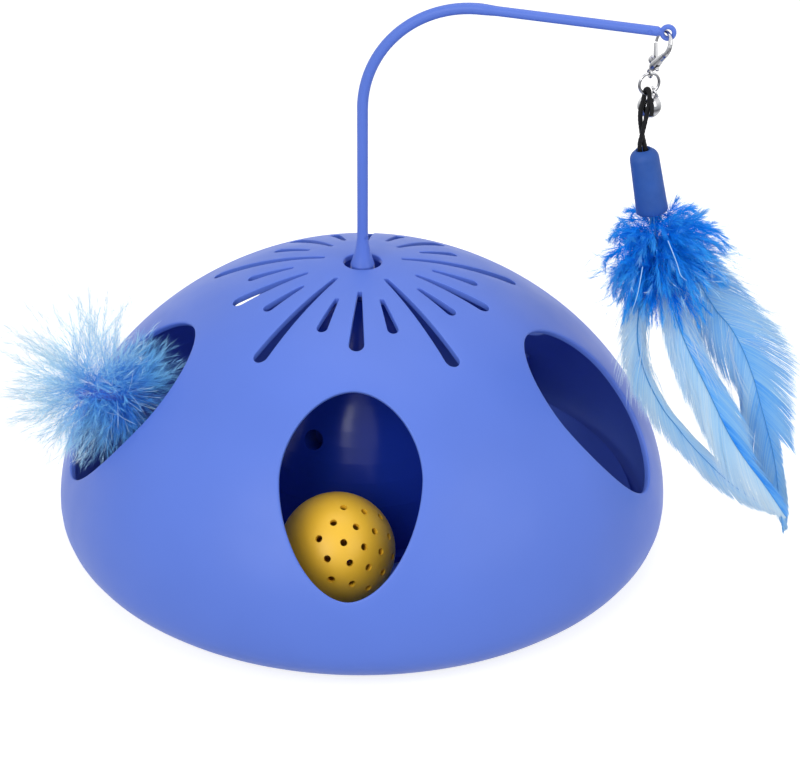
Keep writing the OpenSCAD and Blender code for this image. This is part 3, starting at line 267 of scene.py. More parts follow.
def put(name, data):
    """Adds an object to the scene."""
    thing = bpy.data.objects.new(name, data)
    bpy.context.scene.collection.objects.link(thing)
    return thing


def clad(mesh, material, body, replaces, sharp=None):
    """A smooth object from a mesh, with its finish, riding on a body of the CAD model."""
    mesh.polygons.foreach_set("use_smooth", [True] * len(mesh.polygons))
    if sharp:
        mesh.set_sharp_from_angle(angle=math.radians(sharp))
    mesh.materials.append(material)
    piece = put(mesh.name, mesh)
    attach(piece, body)
    if replaces:
        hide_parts(*replaces)
    return piece


def make_piece(name, shape, material, body, replaces=(), sharp=38):
    """An object from a shape in millimetres, with edges sharper than an angle kept."""
    mesh = bpy.data.meshes.new(name)
    mesh.from_pydata([tuple(Vector(p) * MM) for p in shape[0]], [], shape[1])
    builder = bmesh.new()
    builder.from_mesh(mesh)
    bmesh.ops.recalc_face_normals(builder, faces=builder.faces)
    builder.to_mesh(mesh)
    builder.free()
    return clad(mesh, material, body, replaces, sharp)


def finish_nodes(material, *names):
    """Gives CAD nodes a finish."""
    for name in names:
        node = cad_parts[name]
        if not node.material_slots:
            node.data.materials.append(material)
        for place in node.material_slots:
            place.material = material


# Finishes

NOISE_LOW, NOISE_HIGH = 0.3, 0.7  # most of a noise lies between these


def new_finish(name):
    """A material with its node tree and main shader."""
    material = bpy.data.materials.new(name)
    material.use_nodes = True
    tree = material.node_tree
    return material, tree, tree.nodes["Principled BSDF"]


def grain(tree, scale, detail=3.0, stretch=None):
    """Noise over the object's own coordinates, in features per metre."""
    place = tree.nodes.new("ShaderNodeTexCoord")
    texture = tree.nodes.new("ShaderNodeTexNoise")
    texture.inputs["Scale"].default_value = scale
    texture.inputs["Detail"].default_value = detail
    source = place.outputs["Object"]
    if stretch:
        mapping = tree.nodes.new("ShaderNodeMapping")
        mapping.inputs["Scale"].default_value = stretch
        tree.links.new(source, mapping.inputs["Vector"])
        source = mapping.outputs["Vector"]
    tree.links.new(source, texture.inputs["Vector"])
    return texture.outputs["Fac"]


def shades(tree, source, *stops):
    """A colour ramp with (position, colour) stops."""
    ramp = tree.nodes.new("ShaderNodeValToRGB")
    marks = ramp.color_ramp.elements
    while len(marks) < len(stops):
        marks.new(0.5)
    for mark, (position, colour) in zip(marks, stops):
        mark.position = position
        mark.color = (*colour[:3], 1.0)
    tree.links.new(source, ramp.inputs["Fac"])
    return ramp.outputs["Color"]


def mapped(tree, source, low, high, start=0.0, end=1.0):
    """Maps a value from the range start to end to the range low to high."""
    span = tree.nodes.new("ShaderNodeMapRange")
    for socket, value in (("From Min", start), ("From Max", end),
                          ("To Min", low), ("To Max", high)):
        span.inputs[socket].default_value = value
    tree.links.new(source, span.inputs["Value"])
    return span.outputs["Result"]


def spread(tree, source, low, high):
    """Maps a noise to a range."""
    return mapped(tree, source, low, high, NOISE_LOW, NOISE_HIGH)


def coat(tree, shader, colour, roughness):
    """Joins a colour and a roughness to a shader."""
    tree.links.new(colour, shader.inputs["Base Color"])
    tree.links.new(roughness, shader.inputs["Roughness"])


def bump(tree, shader, height, strength, distance):
    """Bumps a shader by a height."""
    node = tree.nodes.new("ShaderNodeBump")
    node.inputs["Strength"].default_value = strength
    node.inputs["Distance"].default_value = distance
    tree.links.new(height, node.inputs["Height"])
    tree.links.new(node.outputs["Normal"], shader.inputs["Normal"])


def tinted(colour, share):
    """A colour made lighter or darker."""
    return tuple(min(1.0, c * share) for c in colour)


def mottled(tree, scale, detail, colour, low, high):
    """A colour that clouds between a darker and a lighter share of itself."""
    return shades(tree, grain(tree, scale, detail),
                  (NOISE_LOW, tinted(colour, low)), (NOISE_HIGH, tinted(colour, high)))


def moulded_plastic(name, colour, roughness, texture=0.12, gloss=0.5):
    """Moulded plastic with a fine grain, slight mottling and uneven gloss."""
    material, tree, shader = new_finish(name)
    coat(tree, shader, mottled(tree, 22, 2.0, colour, 0.965, 1.03),
         spread(tree, grain(tree, 60, 4.0), roughness - 0.04, roughness + 0.05))
    bump(tree, shader, grain(tree, 2600, 2.0), strength=texture, distance=0.00006)
    shader.inputs["Specular IOR Level"].default_value = gloss
    return material


def polished_metal(name, colour, roughness, scratch=0.05, stretch=None):
    """Plated or turned metal with fine marks."""
    material, tree, shader = new_finish(name)
    shader.inputs["Metallic"].default_value = 1.0
    coat(tree, shader,
         shades(tree, grain(tree, 160), (0.35, tinted(colour, 0.93)), (0.65, colour)),
         spread(tree, grain(tree, 900, stretch=stretch), roughness * 0.7, roughness * 1.3))
    bump(tree, shader, grain(tree, 1400, stretch=stretch), strength=scratch, distance=0.00004)
    return material


def nickel_with_painted_reflections(name):
    """Bright plating with painted reflections: its colour runs in dark and light bands round every
    curve, set by how far each face points up.
    """
    material, tree, shader = new_finish(name)
    place = tree.nodes.new("ShaderNodeTexCoord")
    split = tree.nodes.new("ShaderNodeSeparateXYZ")
    tree.links.new(place.outputs["Normal"], split.inputs["Vector"])
    # Painted reflections: the base colour follows how far each face points up, not the lamps
    facing_up_for_reflections = mapped(tree, split.outputs["Z"], 0.0, 1.0, start=-1.0)
    coat(tree, shader,
         shades(tree, facing_up_for_reflections, (0.0, (0.10, 0.10, 0.11)), (0.30, (0.42, 0.42, 0.44)),
                (0.46, (0.07, 0.07, 0.08)), (0.60, (0.30, 0.31, 0.33)),
                (0.78, (0.72, 0.72, 0.74)), (1.0, (0.50, 0.50, 0.52))),
         spread(tree, grain(tree, 900), 0.10, 0.2))
    shader.inputs["Metallic"].default_value = 1.0
    return material


def soft_rubber(name, colour, roughness=0.62):
    """Matt rubber with a dusty bloom."""
    material, tree, shader = new_finish(name)
    coat(tree, shader, mottled(tree, 130, 5.0, colour, 0.9, 1.08),
         spread(tree, grain(tree, 300), roughness - 0.07, roughness + 0.07))
    bump(tree, shader, grain(tree, 1500, 4.0), strength=0.25, distance=0.00012)
    shader.inputs["Sheen Weight"].default_value = 0.03
    return material


def braided_cord(name):
    """Black braid with dull threads."""
    material, tree, shader = new_finish(name)
    coat(tree, shader,
         shades(tree, grain(tree, 1900),
                (0.3, (0.0008, 0.0008, 0.001)), (0.72, (0.006, 0.006, 0.008))),
         spread(tree, grain(tree, 2400, 2.0), 0.6, 0.8))
    bump(tree, shader, grain(tree, 3200, 2.0), strength=0.4, distance=0.00015)
    shader.inputs["Specular IOR Level"].default_value = 0.25
    return material


def feather_down(name, *stops):
    """Down or barbs: a tint runs from the root to the tip of each fibre."""
    material, tree, shader = new_finish(name)
    tint = tree.nodes.new("ShaderNodeAttribute")
    tint.attribute_name = "tint"
    tree.links.new(shades(tree, tint.outputs["Fac"], *stops), shader.inputs["Base Color"])
    shader.inputs["Roughness"].default_value = 0.72
    shader.inputs["Specular IOR Level"].default_value = 0.08
    return material


def solder_mask(name):
    """Green board with faint copper tracks under the lacquer."""
    material, tree, shader = new_finish(name)
    tracks = grain(tree, 240, 1.0, stretch=(1.0, 6.0, 1.0))
    coat(tree, shader,
         shades(tree, tracks, (0.46, (0.012, 0.10, 0.045)), (0.52, (0.03, 0.22, 0.09))),
         spread(tree, grain(tree, 500), 0.25, 0.4))
    return material


class Fibres:
    """Collects thin tapering ribbons, each with a tint from root to tip."""

    def __init__(self):
        self.points, self.faces, self.tints = [], [], []

    def add(self, path, width, side, tints, taper=0.75):
        """One ribbon along a path, as wide as given at its root."""
        start = len(self.points)
        last = len(path) - 1
        for i, p in enumerate(path):
            share = i / last
            half = 0.5 * width * (1 - taper * share)
            if i == last:
                self.points.append(p)
                self.tints.append(tints[1])
                break
            self.points.extend((p - half * side, p + half * side))
            tint = tints[0] + (tints[1] - tints[0]) * share
            self.tints.extend((tint, tint))
        for i in range(last - 1):
            a = start + 2 * i
            self.faces.append((a, a + 1, a + 3, a + 2))
        a = start + 2 * (last - 1)
        self.faces.append((a, a + 1, a + 2))

    def make(self, name, material, body, slot, replaces=()):
        """The fibres as one object."""
        mesh = bpy.data.meshes.new(name)
        mesh.from_pydata([tuple(p * MM) for p in self.points], [], self.faces)
        tint = mesh.attributes.new("tint", 'FLOAT', 'POINT')
        tint.data.foreach_set("value", self.tints)
        return clad(mesh, material, body, replaces)


def any_direction(rng):
    """A direction at random over the sphere."""
    z = rng.uniform(-1, 1)
    a = rng.uniform(0, 2 * math.pi)
    r = math.sqrt(1 - z * z)
    return Vector((r * math.cos(a), r * math.sin(a), z))


SPINE_STEPS, STRAND_STEPS = 5, 4


def add_plume(fibres, rng, root, tip, bow, barbs, reach, width, tints):
    """A plume of down: a fine shaft with soft barbs, shorter and closer to it towards its tip."""
    chord = tip - root
    length = chord.length

    def shaft(t):
        return root.lerp(tip, t) + bow * (4 * t * (1 - t))

    def shade(t):
        return tints[0] + (tints[1] - tints[0]) * t

    spine = [shaft(k / SPINE_STEPS) for k in range(SPINE_STEPS + 1)]
    fibres.add(spine, 1.5 * width, chord.orthogonal().normalized(), (shade(0.1), shade(0.8)))
    for _ in range(barbs):
        t = 0.08 + 0.92 * rng.random() ** 0.8
        along = (shaft(min(t + 0.05, 1)) - shaft(t - 0.05)).normalized()
        out = along.cross(any_direction(rng)).normalized()
        span = reach * (1.05 - 0.68 * t) * rng.uniform(0.6, 1.15)
        angle = math.radians(rng.uniform(32, 60) - 28 * t)
        curl = any_direction(rng) * span * 0.16
        path = []
        for k in range(STRAND_STEPS + 1):
            u = k / STRAND_STEPS
            path.append(shaft(t) + along * span * (math.cos(angle) * u + 0.12 * u * u)
                        + out * span * (math.sin(angle) * u - 0.16 * u * u) + curl * (u * u))
        side = (path[-1] - path[0]).cross(any_direction(rng)).normalized()
        ahead = min(1.0, t + 0.75 * span / length)
        fibres.add(path, width * rng.uniform(0.7, 1.25), side, (shade(t), shade(ahead)))


# Dome

BELLY_Z, DOME_POW, LIP_IN, LIP_POW, SEAM_Z, TOP_HOLE_R = 18.0, 1.8, 36.0, 2.4, 5.0, 6.95
EGG_LOW_Z, EGG_HIGH_Z, EGG_HALF_W, EGG_POW, EGG_WIDE = 38.0, 92.0, 24.2, 1.85, 0.567
OPENINGS = 5
STEP = 360.0 / OPENINGS
LONG_SLOT, MEDIUM_SLOT, SHORT_SLOT = (14.7, 59.2), (20.4, 48.4), (25.2, 41.9)
SLOT_W, SHORT_SLOT_W, SLOT_TIP_W, SLOT_STEP = 5.4, 3.9, 1.5, 2.2
TOP_RIM, SLOT_RIM, INNER_RIM = 0.6, 0.32, 0.4
CROWN_STEPS, LIP_STEPS, HALVINGS = 600, 60, 60
BORDER_SHARE, INNER_SHARE = 0.55, 1.5  # of a mesh step: clear of a border, and on the inner skin
BOSS_AT_R, BOSS_Z, BOSS_H, BOSS_R = 97.8, 12.0, 14.0, 3.5
BOSS_BORE_R, BOSS_BORE_H, RIB_END, RIB_HALF_W = 1.25, 11.5, 12.7, 1.2


class Skin:
    """One side of the dome's wall, as a turned surface laid out flat round its top."""

    def __init__(self, radius, rise):
        self.radius, self.rise = radius, rise
        self.profile = []
        for i in range(CROWN_STEPS + 1):
            t = 0.5 * math.pi * (1 - i / CROWN_STEPS)
            self.profile.append((radius * math.cos(t) ** (2 / DOME_POW),
                                 BELLY_Z + rise * math.sin(t) ** (2 / DOME_POW)))
        low = math.asin(((BELLY_Z - SEAM_Z) / BELLY_Z) ** (LIP_POW / 2))
        for i in range(1, LIP_STEPS + 1):
            t = low * i / LIP_STEPS
            self.profile.append((radius - LIP_IN + LIP_IN * math.cos(t) ** (2 / LIP_POW),
                                 BELLY_Z - BELLY_Z * math.sin(t) ** (2 / LIP_POW)))
        self.depth = [-height for _, height in self.profile]
        self.along = [0.0]
        for (r0, z0), (r1, z1) in zip(self.profile, self.profile[1:]):
            self.along.append(self.along[-1] + math.hypot(r1 - r0, z1 - z0))
        self.end = self.along[-1]

    def between(self, values, value):
        """The step of the profile before a value, and the value's share of the way to the next."""
        low = min(max(bisect_right(values, value) - 1, 0), len(values) - 2)
        return low, (value - values[low]) / max(values[low + 1] - values[low], 1e-9)

    def point_at(self, distance):
        """(radius, height) at a distance from the top."""
        low, share = self.between(self.along, distance)
        a, b = self.profile[low], self.profile[low + 1]
        return a[0] + (b[0] - a[0]) * share, a[1] + (b[1] - a[1]) * share

    def distance_of(self, height):
        """Distance from the top of a height."""
        low, share = self.between(self.depth, -height)
        return self.along[low] + (self.along[low + 1] - self.along[low]) * min(max(share, 0), 1)

    def radius_at(self, height):
        """Radius of the crown at a height."""
        share = max((height - BELLY_Z) / self.rise, 0)
        return self.radius * (1 - share ** DOME_POW) ** (1 / DOME_POW)

    def height_over(self, radius):
        """Height of the crown over a radius."""
        share = max(0.0, 1 - (radius / self.radius) ** DOME_POW)
        return BELLY_Z + self.rise * share ** (1 / DOME_POW)

    def outside(self, p):
        """How far a point of the crown lies outside."""
        if (p.z - BELLY_Z) / self.rise >= 1:
            return 1.0
        return math.hypot(p.x, p.y) - self.radius_at(p.z)

    def normal(self, p):
        """Outward direction at a point of the crown."""
        r = math.hypot(p.x, p.y)
        slope = max(r / self.radius, 1e-4) ** (DOME_POW - 1) / self.radius
        lift = max((p.z - BELLY_Z) / self.rise, 1e-4) ** (DOME_POW - 1) / self.rise
        return Vector((p.x / r * slope, p.y / r * slope, lift)).normalized()

    def flat(self, p):
        """A point of the surface on the flat layout."""
        distance = self.distance_of(p.z)
        a = math.atan2(p.y, p.x)
        return Vector((distance * math.cos(a), distance * math.sin(a)))

    def hit(self, base, direction, near=-25.0, far=45.0):
        """Where a line meets the crown."""
        for _ in range(HALVINGS):
            middle = 0.5 * (near + far)
            if self.outside(base + direction * middle) < 0:
                near = middle
            else:
                far = middle
        return base + direction * 0.5 * (near + far)


def egg_loops(outer, inner, bearing, count=120):
    """An egg opening's edge on both skins."""
    low_r, high_r = outer.radius_at(EGG_LOW_Z), outer.radius_at(EGG_HIGH_Z)
    lean = math.degrees(math.atan2(low_r - high_r, EGG_HIGH_Z - EGG_LOW_Z))
    length = math.hypot(low_r - high_r, EGG_HIGH_Z - EGG_LOW_Z)
    place = turn('Z', bearing - 90) @ shift(low_r, 0, EGG_LOW_Z) @ turn('Y', -lean)
    direction = place.to_3x3() @ Vector((1, 0, 0))
    widest = EGG_WIDE * length
    edges = ([], [])
    for i in range(count):
        t = 2 * math.pi * i / count
        c, s = math.cos(t), math.sin(t)
        across = EGG_HALF_W * math.copysign(abs(c) ** (2 / EGG_POW), c)
        up = math.copysign(abs(s) ** (2 / EGG_POW), s)
        base = place @ Vector((0, across, widest + up * (length - widest if up > 0 else widest)))
        for edge, skin in zip(edges, (outer, inner)):
            edge.append(skin.hit(base, direction))
    return edges


def slot_outline(reach, width):
    """Plan of a tapering slot with round ends, pointing along +X."""
    big, small = width / 2, SLOT_TIP_W / 2
    outer_x, inner_x = reach[1] - big, reach[0] + small
    plan = [(outer_x + big * math.cos(a), big * math.sin(a))
            for a in (math.radians(-90 + 15 * k) for k in range(13))]
    sides = int((outer_x - inner_x) / SLOT_STEP)
    for k in range(1, sides):
        t = k / sides
        plan.append((outer_x + (inner_x - outer_x) * t, big + (small - big) * t))
    plan += [(inner_x + small * math.cos(a), small * math.sin(a))
             for a in (math.radians(90 + 30 * k) for k in range(7))]
    for k in range(1, sides):
        t = 1 - k / sides
        plan.append((outer_x + (inner_x - outer_x) * t, -(big + (small - big) * t)))
    return plan


def plan_loops(outer, inner, plan, bearing):
    """An upright cut's edge on both skins."""
    spin = turn('Z', bearing - 90)
    edges = ([], [])
    for x, y in plan:
        flat = spin @ Vector((x, y, 0))
        for edge, skin in zip(edges, (outer, inner)):
            edge.append(Vector((flat.x, flat.y, skin.height_over(math.hypot(x, y)))))
    return edges


def inside_plan(p, plan):
    """Whether a flat point lies inside a closed outline."""
    hit = False
    for a, b in zip(plan, plan[1:] + plan[:1]):
        if (a.y > p.y) != (b.y > p.y):
            if p.x < a.x + (p.y - a.y) * (b.x - a.x) / (b.y - a.y):
                hit = not hit
    return hit


def skin_shape(skin, holes, step, rim_count=200):
    """Triangles over a skin round its holes; returns points, faces and each hole's indices."""
    points, flats, edges, loops, plans = [], [], [], [], []
    for hole in holes:
        start = len(points)
        points.extend(hole)
        plan = [skin.flat(p) for p in hole]
        plans.append(plan)
        flats.extend(plan)
        count = len(hole)
        edges.extend((start + k, start + (k + 1) % count) for k in range(count))
        loops.append(list(range(start, start + count)))
    start = len(points)
    end_r, end_z = skin.profile[-1]
    points.extend(Vector((x, y, end_z)) for x, y in circle(end_r, rim_count))
    flats.extend(Vector(p) for p in circle(skin.end, rim_count))
    edges.extend((start + k, start + (k + 1) % rim_count) for k in range(rim_count))
    loops.append(list(range(start, start + rim_count)))
    borders = kdtree.KDTree(len(flats))
    for i, p in enumerate(flats):
        borders.insert((p.x, p.y, 0), i)
    borders.balance()
    bounds = []
    for plan in plans:
        middle = sum(plan, Vector((0, 0))) / len(plan)
        bounds.append((middle, max((p - middle).length for p in plan)))
    rows = int(skin.end / step)
    for row in range(1, rows):
        distance = skin.end * row / rows
        radius, height = skin.point_at(distance)
        count = max(8, int(2 * math.pi * radius / step))
        lead = 0.5 * (row % 2)
        for laid, (x, y) in zip(circle(distance, count, lead), circle(radius, count, lead)):
            flat = Vector(laid)
            if borders.find((flat.x, flat.y, 0))[2] < BORDER_SHARE * step:
                continue
            if any((flat - m).length < r and inside_plan(flat, plan)
                   for plan, (m, r) in zip(plans, bounds)):
                continue
            flats.append(flat)
            points.append(Vector((x, y, height)))
    owner = {}
    for number, loop in enumerate(loops[:-1]):
        for i in loop:
            owner[i] = number
    _, _, triangles, sources, _, _ = delaunay_2d_cdt(flats, edges, [], 0, 1e-6)
    faces = []
    for triangle in triangles:
        face = tuple(sources[i][0] for i in triangle)
        holders = {owner.get(i, -1) for i in face}
        if len(holders) == 1 and -1 not in holders:
            middle = sum((flats[i] for i in face), Vector((0, 0))) / 3
            if inside_plan(middle, plans[holders.pop()]):
                continue
        faces.append(face)
    return points, faces, loops


def rounded_rim(outer, inner, outer_edge, inner_edge, rim, inner_rim):
    """Rings of points over the rim of a hole, from the outer skin to the inner one."""
    count = len(outer_edge)
    middle = sum(outer_edge, Vector()) / count
    rings = [[] for _ in range(9)]
    for i in range(count):
        out_p, in_p = outer_edge[i], inner_edge[i]
        through = (in_p - out_p).normalized()
        for skin, edge, p, deep, radius, order in (
                (outer, outer_edge, out_p, through, rim, (0, 1, 2, 3, 4)),
                (inner, inner_edge, in_p, -through, inner_rim, (8, 7, 6, 5))):
            along = (edge[(i + 1) % count] - edge[i - 1]).normalized()
            away = along.cross(skin.normal(p)).normalized()
            if away.dot(p - middle) < 0:
                away = -away
            last = len(order) - 1
            for k, ring in enumerate(order):
                a = 0.5 * math.pi * k / last
                turned = (1 - math.sin(a)) * away + (1 - math.cos(a)) * deep
                rings[ring].append(p + radius * turned)
    return rings


def dome_shape(settings):
    """The whole dome with its openings, slots and rounded rims."""
    wall = settings.wall / MM
    outer = Skin(settings.radius / MM, settings.rise / MM)
    inner = Skin(outer.radius - wall, outer.rise - wall)
    rim = settings.rim / MM
    cuts = [(plan_loops(outer, inner, circle(TOP_HOLE_R, 48), 0), TOP_RIM)]
    for k in range(OPENINGS):
        cuts.append((egg_loops(outer, inner, STEP * k), rim))
        for reach, width, at in (
                (MEDIUM_SLOT, SLOT_W, 0), (LONG_SLOT, SLOT_W, 0.5),
                (SHORT_SLOT, SHORT_SLOT_W, 0.25), (SHORT_SLOT, SHORT_SLOT_W, 0.75)):
            plan = slot_outline(reach, width)
            cuts.append((plan_loops(outer, inner, plan, STEP * (k + at)), SLOT_RIM))
    rims = [rounded_rim(outer, inner, *edges, r, min(r, INNER_RIM)) for edges, r in cuts]
    step = settings.mesh_step / MM
    outside = skin_shape(outer, [rings[0] for rings in rims], step)
    inside = skin_shape(inner, [rings[-1] for rings in rims], INNER_SHARE * step)
    points, faces = join(outside[:2], inside[:2])
    offset = len(outside[0])
    for number, rings in enumerate(rims):
        chain = [outside[2][number]]
        for ring in rings[1:-1]:
            chain.append(range(len(points), len(points) + len(ring)))
            points.extend(ring)
        chain.append([i + offset for i in inside[2][number]])
        for a, b in zip(chain, chain[1:]):
            faces.extend(band(a, b))
    faces.extend(band(outside[2][-1], [i + offset for i in inside[2][-1]]))
    return points, faces


class FEATHERTOY_OT_camera(bpy.types.Operator):
    """Sets the camera where the photograph was taken from"""
    bl_idname = "feathertoy.camera"
    bl_label = "Camera"

    def execute(self, context):
        yaw, pitch, roll = (math.radians(a) for a in (-1.542, 29.117, 0.529))
        ahead = Vector((math.sin(yaw) * math.cos(pitch), math.cos(yaw) * math.cos(pitch),
                        -math.sin(pitch)))
        right = ahead.cross(Vector((0, 0, 1))).normalized()
        up = right.cross(ahead)
        right, up = (math.cos(roll) * right + math.sin(roll) * up,
                     math.cos(roll) * up - math.sin(roll) * right)
        data = bpy.data.cameras.new("camera")
        data.sensor_fit = 'HORIZONTAL'
        data.sensor_width = 36.0
        data.lens = 94.65
        data.clip_start = 0.02
        camera = put("camera", data)
        place = Matrix((right, up, -ahead)).transposed().to_4x4()
        place.translation = (0.03256, -0.6892, 0.44317)
        camera.matrix_world = place
        context.scene.camera = camera
        return {'FINISHED'}


class FEATHERTOY_OT_cord(bpy.types.Operator):
    """Loops the black cord over the jump ring and into the sleeve"""
    bl_idname = "feathertoy.cord"
    bl_label = "Lure cord"

    def execute(self, context):
        ring_r, arch_r, cord_r, stub_r = 3.7, 1.7, 0.8, 0.75
        lean, seat_at, twist = math.radians(6), math.radians(-8), math.radians(-30)
        ring_along = Vector((math.cos(twist), -math.sin(twist), 0))
        ring_across = Vector((math.sin(twist), math.cos(twist), 0))
        seat = (Vector((LINK_X, 0, LINK_Z - ring_r))
                + ring_r * (math.sin(seat_at) * ring_along - Vector((0, 0, math.cos(seat_at)))))
        arch_up = math.sin(lean) * ring_along + Vector((0, 0, math.cos(lean)))
        over = [seat - 1.8 * ring_across - Vector((0, 0, 2.9))]
        for k in range(7):
            a = math.radians(-90 + 30 * k)
            over.append(seat + arch_r * (math.cos(a) * arch_up + math.sin(a) * ring_across))
        route = [
            (98.3, -0.2, 158.0), (97.85, -0.4, 160.0), (97.3, -0.7, 162.5), (97.2, -1.1, 165.3),
            (97.7, -1.6, 168.2), (98.2, -1.9, 171.2), (98.65, -2.15, 174.3), (99.05, -2.3, 177.4),
            *over, (97.3, 0.75, 180.0), (96.85, -0.2, 178.2), (96.65, -0.7, 176.2),
            (96.75, -0.65, 173.8), (97.1, -0.2, 171.2), (97.6, 0.35, 168.2), (98.35, 0.5, 165.3),
            (99.1, 0.4, 162.5), (99.75, 0.35, 160.0), (100.3, 0.2, 158.0)]
        path = [WAND_FRAME @ p for p in smooth_path(route, 8)]

        def plait(i, share, depth=0.10, pitch=9):
            left, right = 2 * share + i / pitch, 2 * share - i / pitch
            return depth * math.cos(2 * math.pi * left) * math.cos(2 * math.pi * right)

        braid = braided_cord("black_braid")
        cord = make_piece("lure_cord_braid", sweep(path, cord_r, 16, plait), braid,
                          "lure", ("lure_cord",), sharp=180)
        stub = smooth_path([(99.5, -1.7, 182.3), (100.3, -2.7, 180.7), (100.6, -3.2, 178.6),
                            (100.55, -3.3, 176.4)], 6)
        make_piece("cord_stub", sweep([WAND_FRAME @ p for p in stub], stub_r, 12, plait), braid,
                   "lure", sharp=60)
        return {'FINISHED'}


class FEATHERTOY_OT_dome(bpy.types.Operator):
    """Moulds the dome with its egg openings and sunburst of slots"""
    bl_idname = "feathertoy.dome"
    bl_label = "Dome"

    def execute(self, context):
        settings = context.scene.feather_toy.dome
        shell = moulded_plastic("shell_plastic", settings.colour, 0.42, gloss=0.3)
        make_piece("dome_moulding", dome_shape(settings), shell, "housing",
                   ("dome_shell",), sharp=60)
        bosses = []
        for k in range(OPENINGS):
            place = turn('Z', STEP * k - 90) @ shift(BOSS_AT_R, 0, BOSS_Z)
            ring = lathe([(BOSS_BORE_R, 0), (BOSS_R, 0), (BOSS_R, BOSS_H), (0, BOSS_H),
                          (0, BOSS_BORE_H), (BOSS_BORE_R, BOSS_BORE_H), (BOSS_BORE_R, 0)], 24)
            rib = ([Vector((x, y, z)) for x in (2, RIB_END) for y in (-RIB_HALF_W, RIB_HALF_W)
                    for z in (0.5, BOSS_H)],
                   [(0, 1, 3, 2), (4, 6, 7, 5), (0, 4, 5, 1),
                    (2, 3, 7, 6), (1, 5, 7, 3), (0, 2, 6, 4)])
            bosses += [moved(ring, place), moved(rib, place)]
        make_piece("dome_bosses", join(*bosses), shell, "housing")
        finish_nodes(shell, "base_tray", "battery_box", "battery_cover", "puff_stem", "wand")
        return {'FINISHED'}


class FEATHERTOY_OT_drive(bpy.types.Operator):
    """Finishes the core, the foot ring and the works inside"""
    bl_idname = "feathertoy.drive"
    bl_label = "Core and works"

    def execute(self, context):
        settings = context.scene.feather_toy.dome
        # The core and hub carry the darkened core colour, painted shade of the dome's unlit inside
        finish_nodes(moulded_plastic("core_shaded_plastic", settings.core_shaded_colour, 0.22, texture=0.04,
                                     gloss=0.3), "core_cover", "wand_hub")
        finish_nodes(soft_rubber("foot_rubber", (0.03, 0.03, 0.032)), "foot_ring")
        finish_nodes(polished_metal("zinc_steel", (0.55, 0.56, 0.58), 0.3, scratch=0.1),
                     "dome_screws", "core_screws", "gearbox_screws", "cover_screw", "gear_axles",
                     "output_shaft", "motor_shaft", "battery_contacts", "bell_pellet")
        finish_nodes(polished_metal("motor_steel", (0.48, 0.49, 0.5), 0.36, scratch=0.12,
                                    stretch=(1, 1, 40)), "motor_can")
        finish_nodes(moulded_plastic("frame_plastic", (0.74, 0.74, 0.73), 0.5),
                     "gear_plate_lower", "gear_plate_upper", "plate_posts")
        finish_nodes(moulded_plastic("gear_nylon", (0.82, 0.79, 0.68), 0.45),
                     "output_gear", "second_gear", "first_gear")
        finish_nodes(polished_metal("turned_brass", (0.72, 0.50, 0.18), 0.25, scratch=0.08),
                     "shaft_bush", "pinion_gear")
        finish_nodes(moulded_plastic("black_plastic", (0.012, 0.012, 0.013), 0.4),
                     "motor_cap", "switch_body", "switch_knob")
        finish_nodes(moulded_plastic("cell_jacket", (0.02, 0.09, 0.085), 0.28, texture=0.05),
                     "battery_cell_a", "battery_cell_b")
        finish_nodes(solder_mask("board_lacquer"), "circuit_board")
        finish_nodes(soft_rubber("lead_vinyl", (0.30, 0.012, 0.012), 0.45),
                     "motor_leads", "battery_leads")
        finish_nodes(soft_rubber("plug_rubber", (0.42, 0.32, 0.20)), "quill_plug")
        return {'FINISHED'}


class FEATHERTOY_OT_clasp(bpy.types.Operator):
    """Plates the clasp, the ring and the bell, with painted reflections in the nickel's colour"""
    bl_idname = "feathertoy.clasp"
    bl_label = "Clasp, ring and bell"

    def execute(self, context):
        finish_nodes(nickel_with_painted_reflections("nickel_painted_reflections"), "jump_ring", "bell_shell",
                     "clasp_pin", "clasp_body", "clasp_gate")
        return {'FINISHED'}


class FEATHERTOY_OT_sleeve(bpy.types.Operator):
    """Turns the rubber sleeve over the cord and quills"""
    bl_idname = "feathertoy.sleeve"
    bl_label = "Sleeve"

    def execute(self, context):
        settings = context.scene.feather_toy.lure
        top, low, bend, length = 5.1, 5.6, 3.6, 23.5
        cord_r, cord_deep, quill_r, quill_deep, lip = 2.4, 7.0, 3.6, 9.0, 0.3
        profile = [(0, -cord_deep), (cord_r, -cord_deep), (cord_r, -lip), (cord_r + lip, 0)]
        for k in range(11):
            a = math.radians(90 - 9 * k)
            profile.append((max(top - bend + bend * math.cos(a), 2.75), bend * (math.sin(a) - 1)))
        for k in range(1, 9):
            t = k / 8
            profile.append((top + (low - top) * t, -bend - (length - bend - 0.5) * t))
        profile += [(low - 0.15, 0.15 - length), (low - 0.5, -length), (quill_r + lip, -length),
                    (quill_r, lip - length), (quill_r, quill_deep - length),
                    (0, quill_deep - length)]
        sleeve = soft_rubber("sleeve_rubber", settings.sleeve_colour)
        make_piece("lure_grip", moved(lathe(profile, 56), SLEEVE_FRAME), sleeve, "lure",
                   ("lure_sleeve",), sharp=50)
        return {'FINISHED'}


# Collar, along the sleeve's axis: its middle and half sizes, where its plumes are bound, and the
# neck in which no down rises into the sleeve
COLLAR_Z, COLLAR_HALF, COLLAR_HALF_X, COLLAR_SKEW = -45.0, 22.5, 23.0, 3.0
BOUND_Z, BOUND_LEN, NECK_R, NECK_Z, WISP_Z = -25.0, 16.0, 6.6, -23.9, -38.0
INNER_PLUMES, LOW_WISPS, SIDE_WISPS = 80, 60, 16
PALE_SHAFTS = (((5.5, -13, -29.5), (8, -18, -36), (9, -20.5, -39.5), (11, -21.5, -41.5)),
               ((-3.4, -21.5, -34.5), (-6, -23, -43), (-8.5, -22.5, -49), (-10.5, -21, -53.3)))


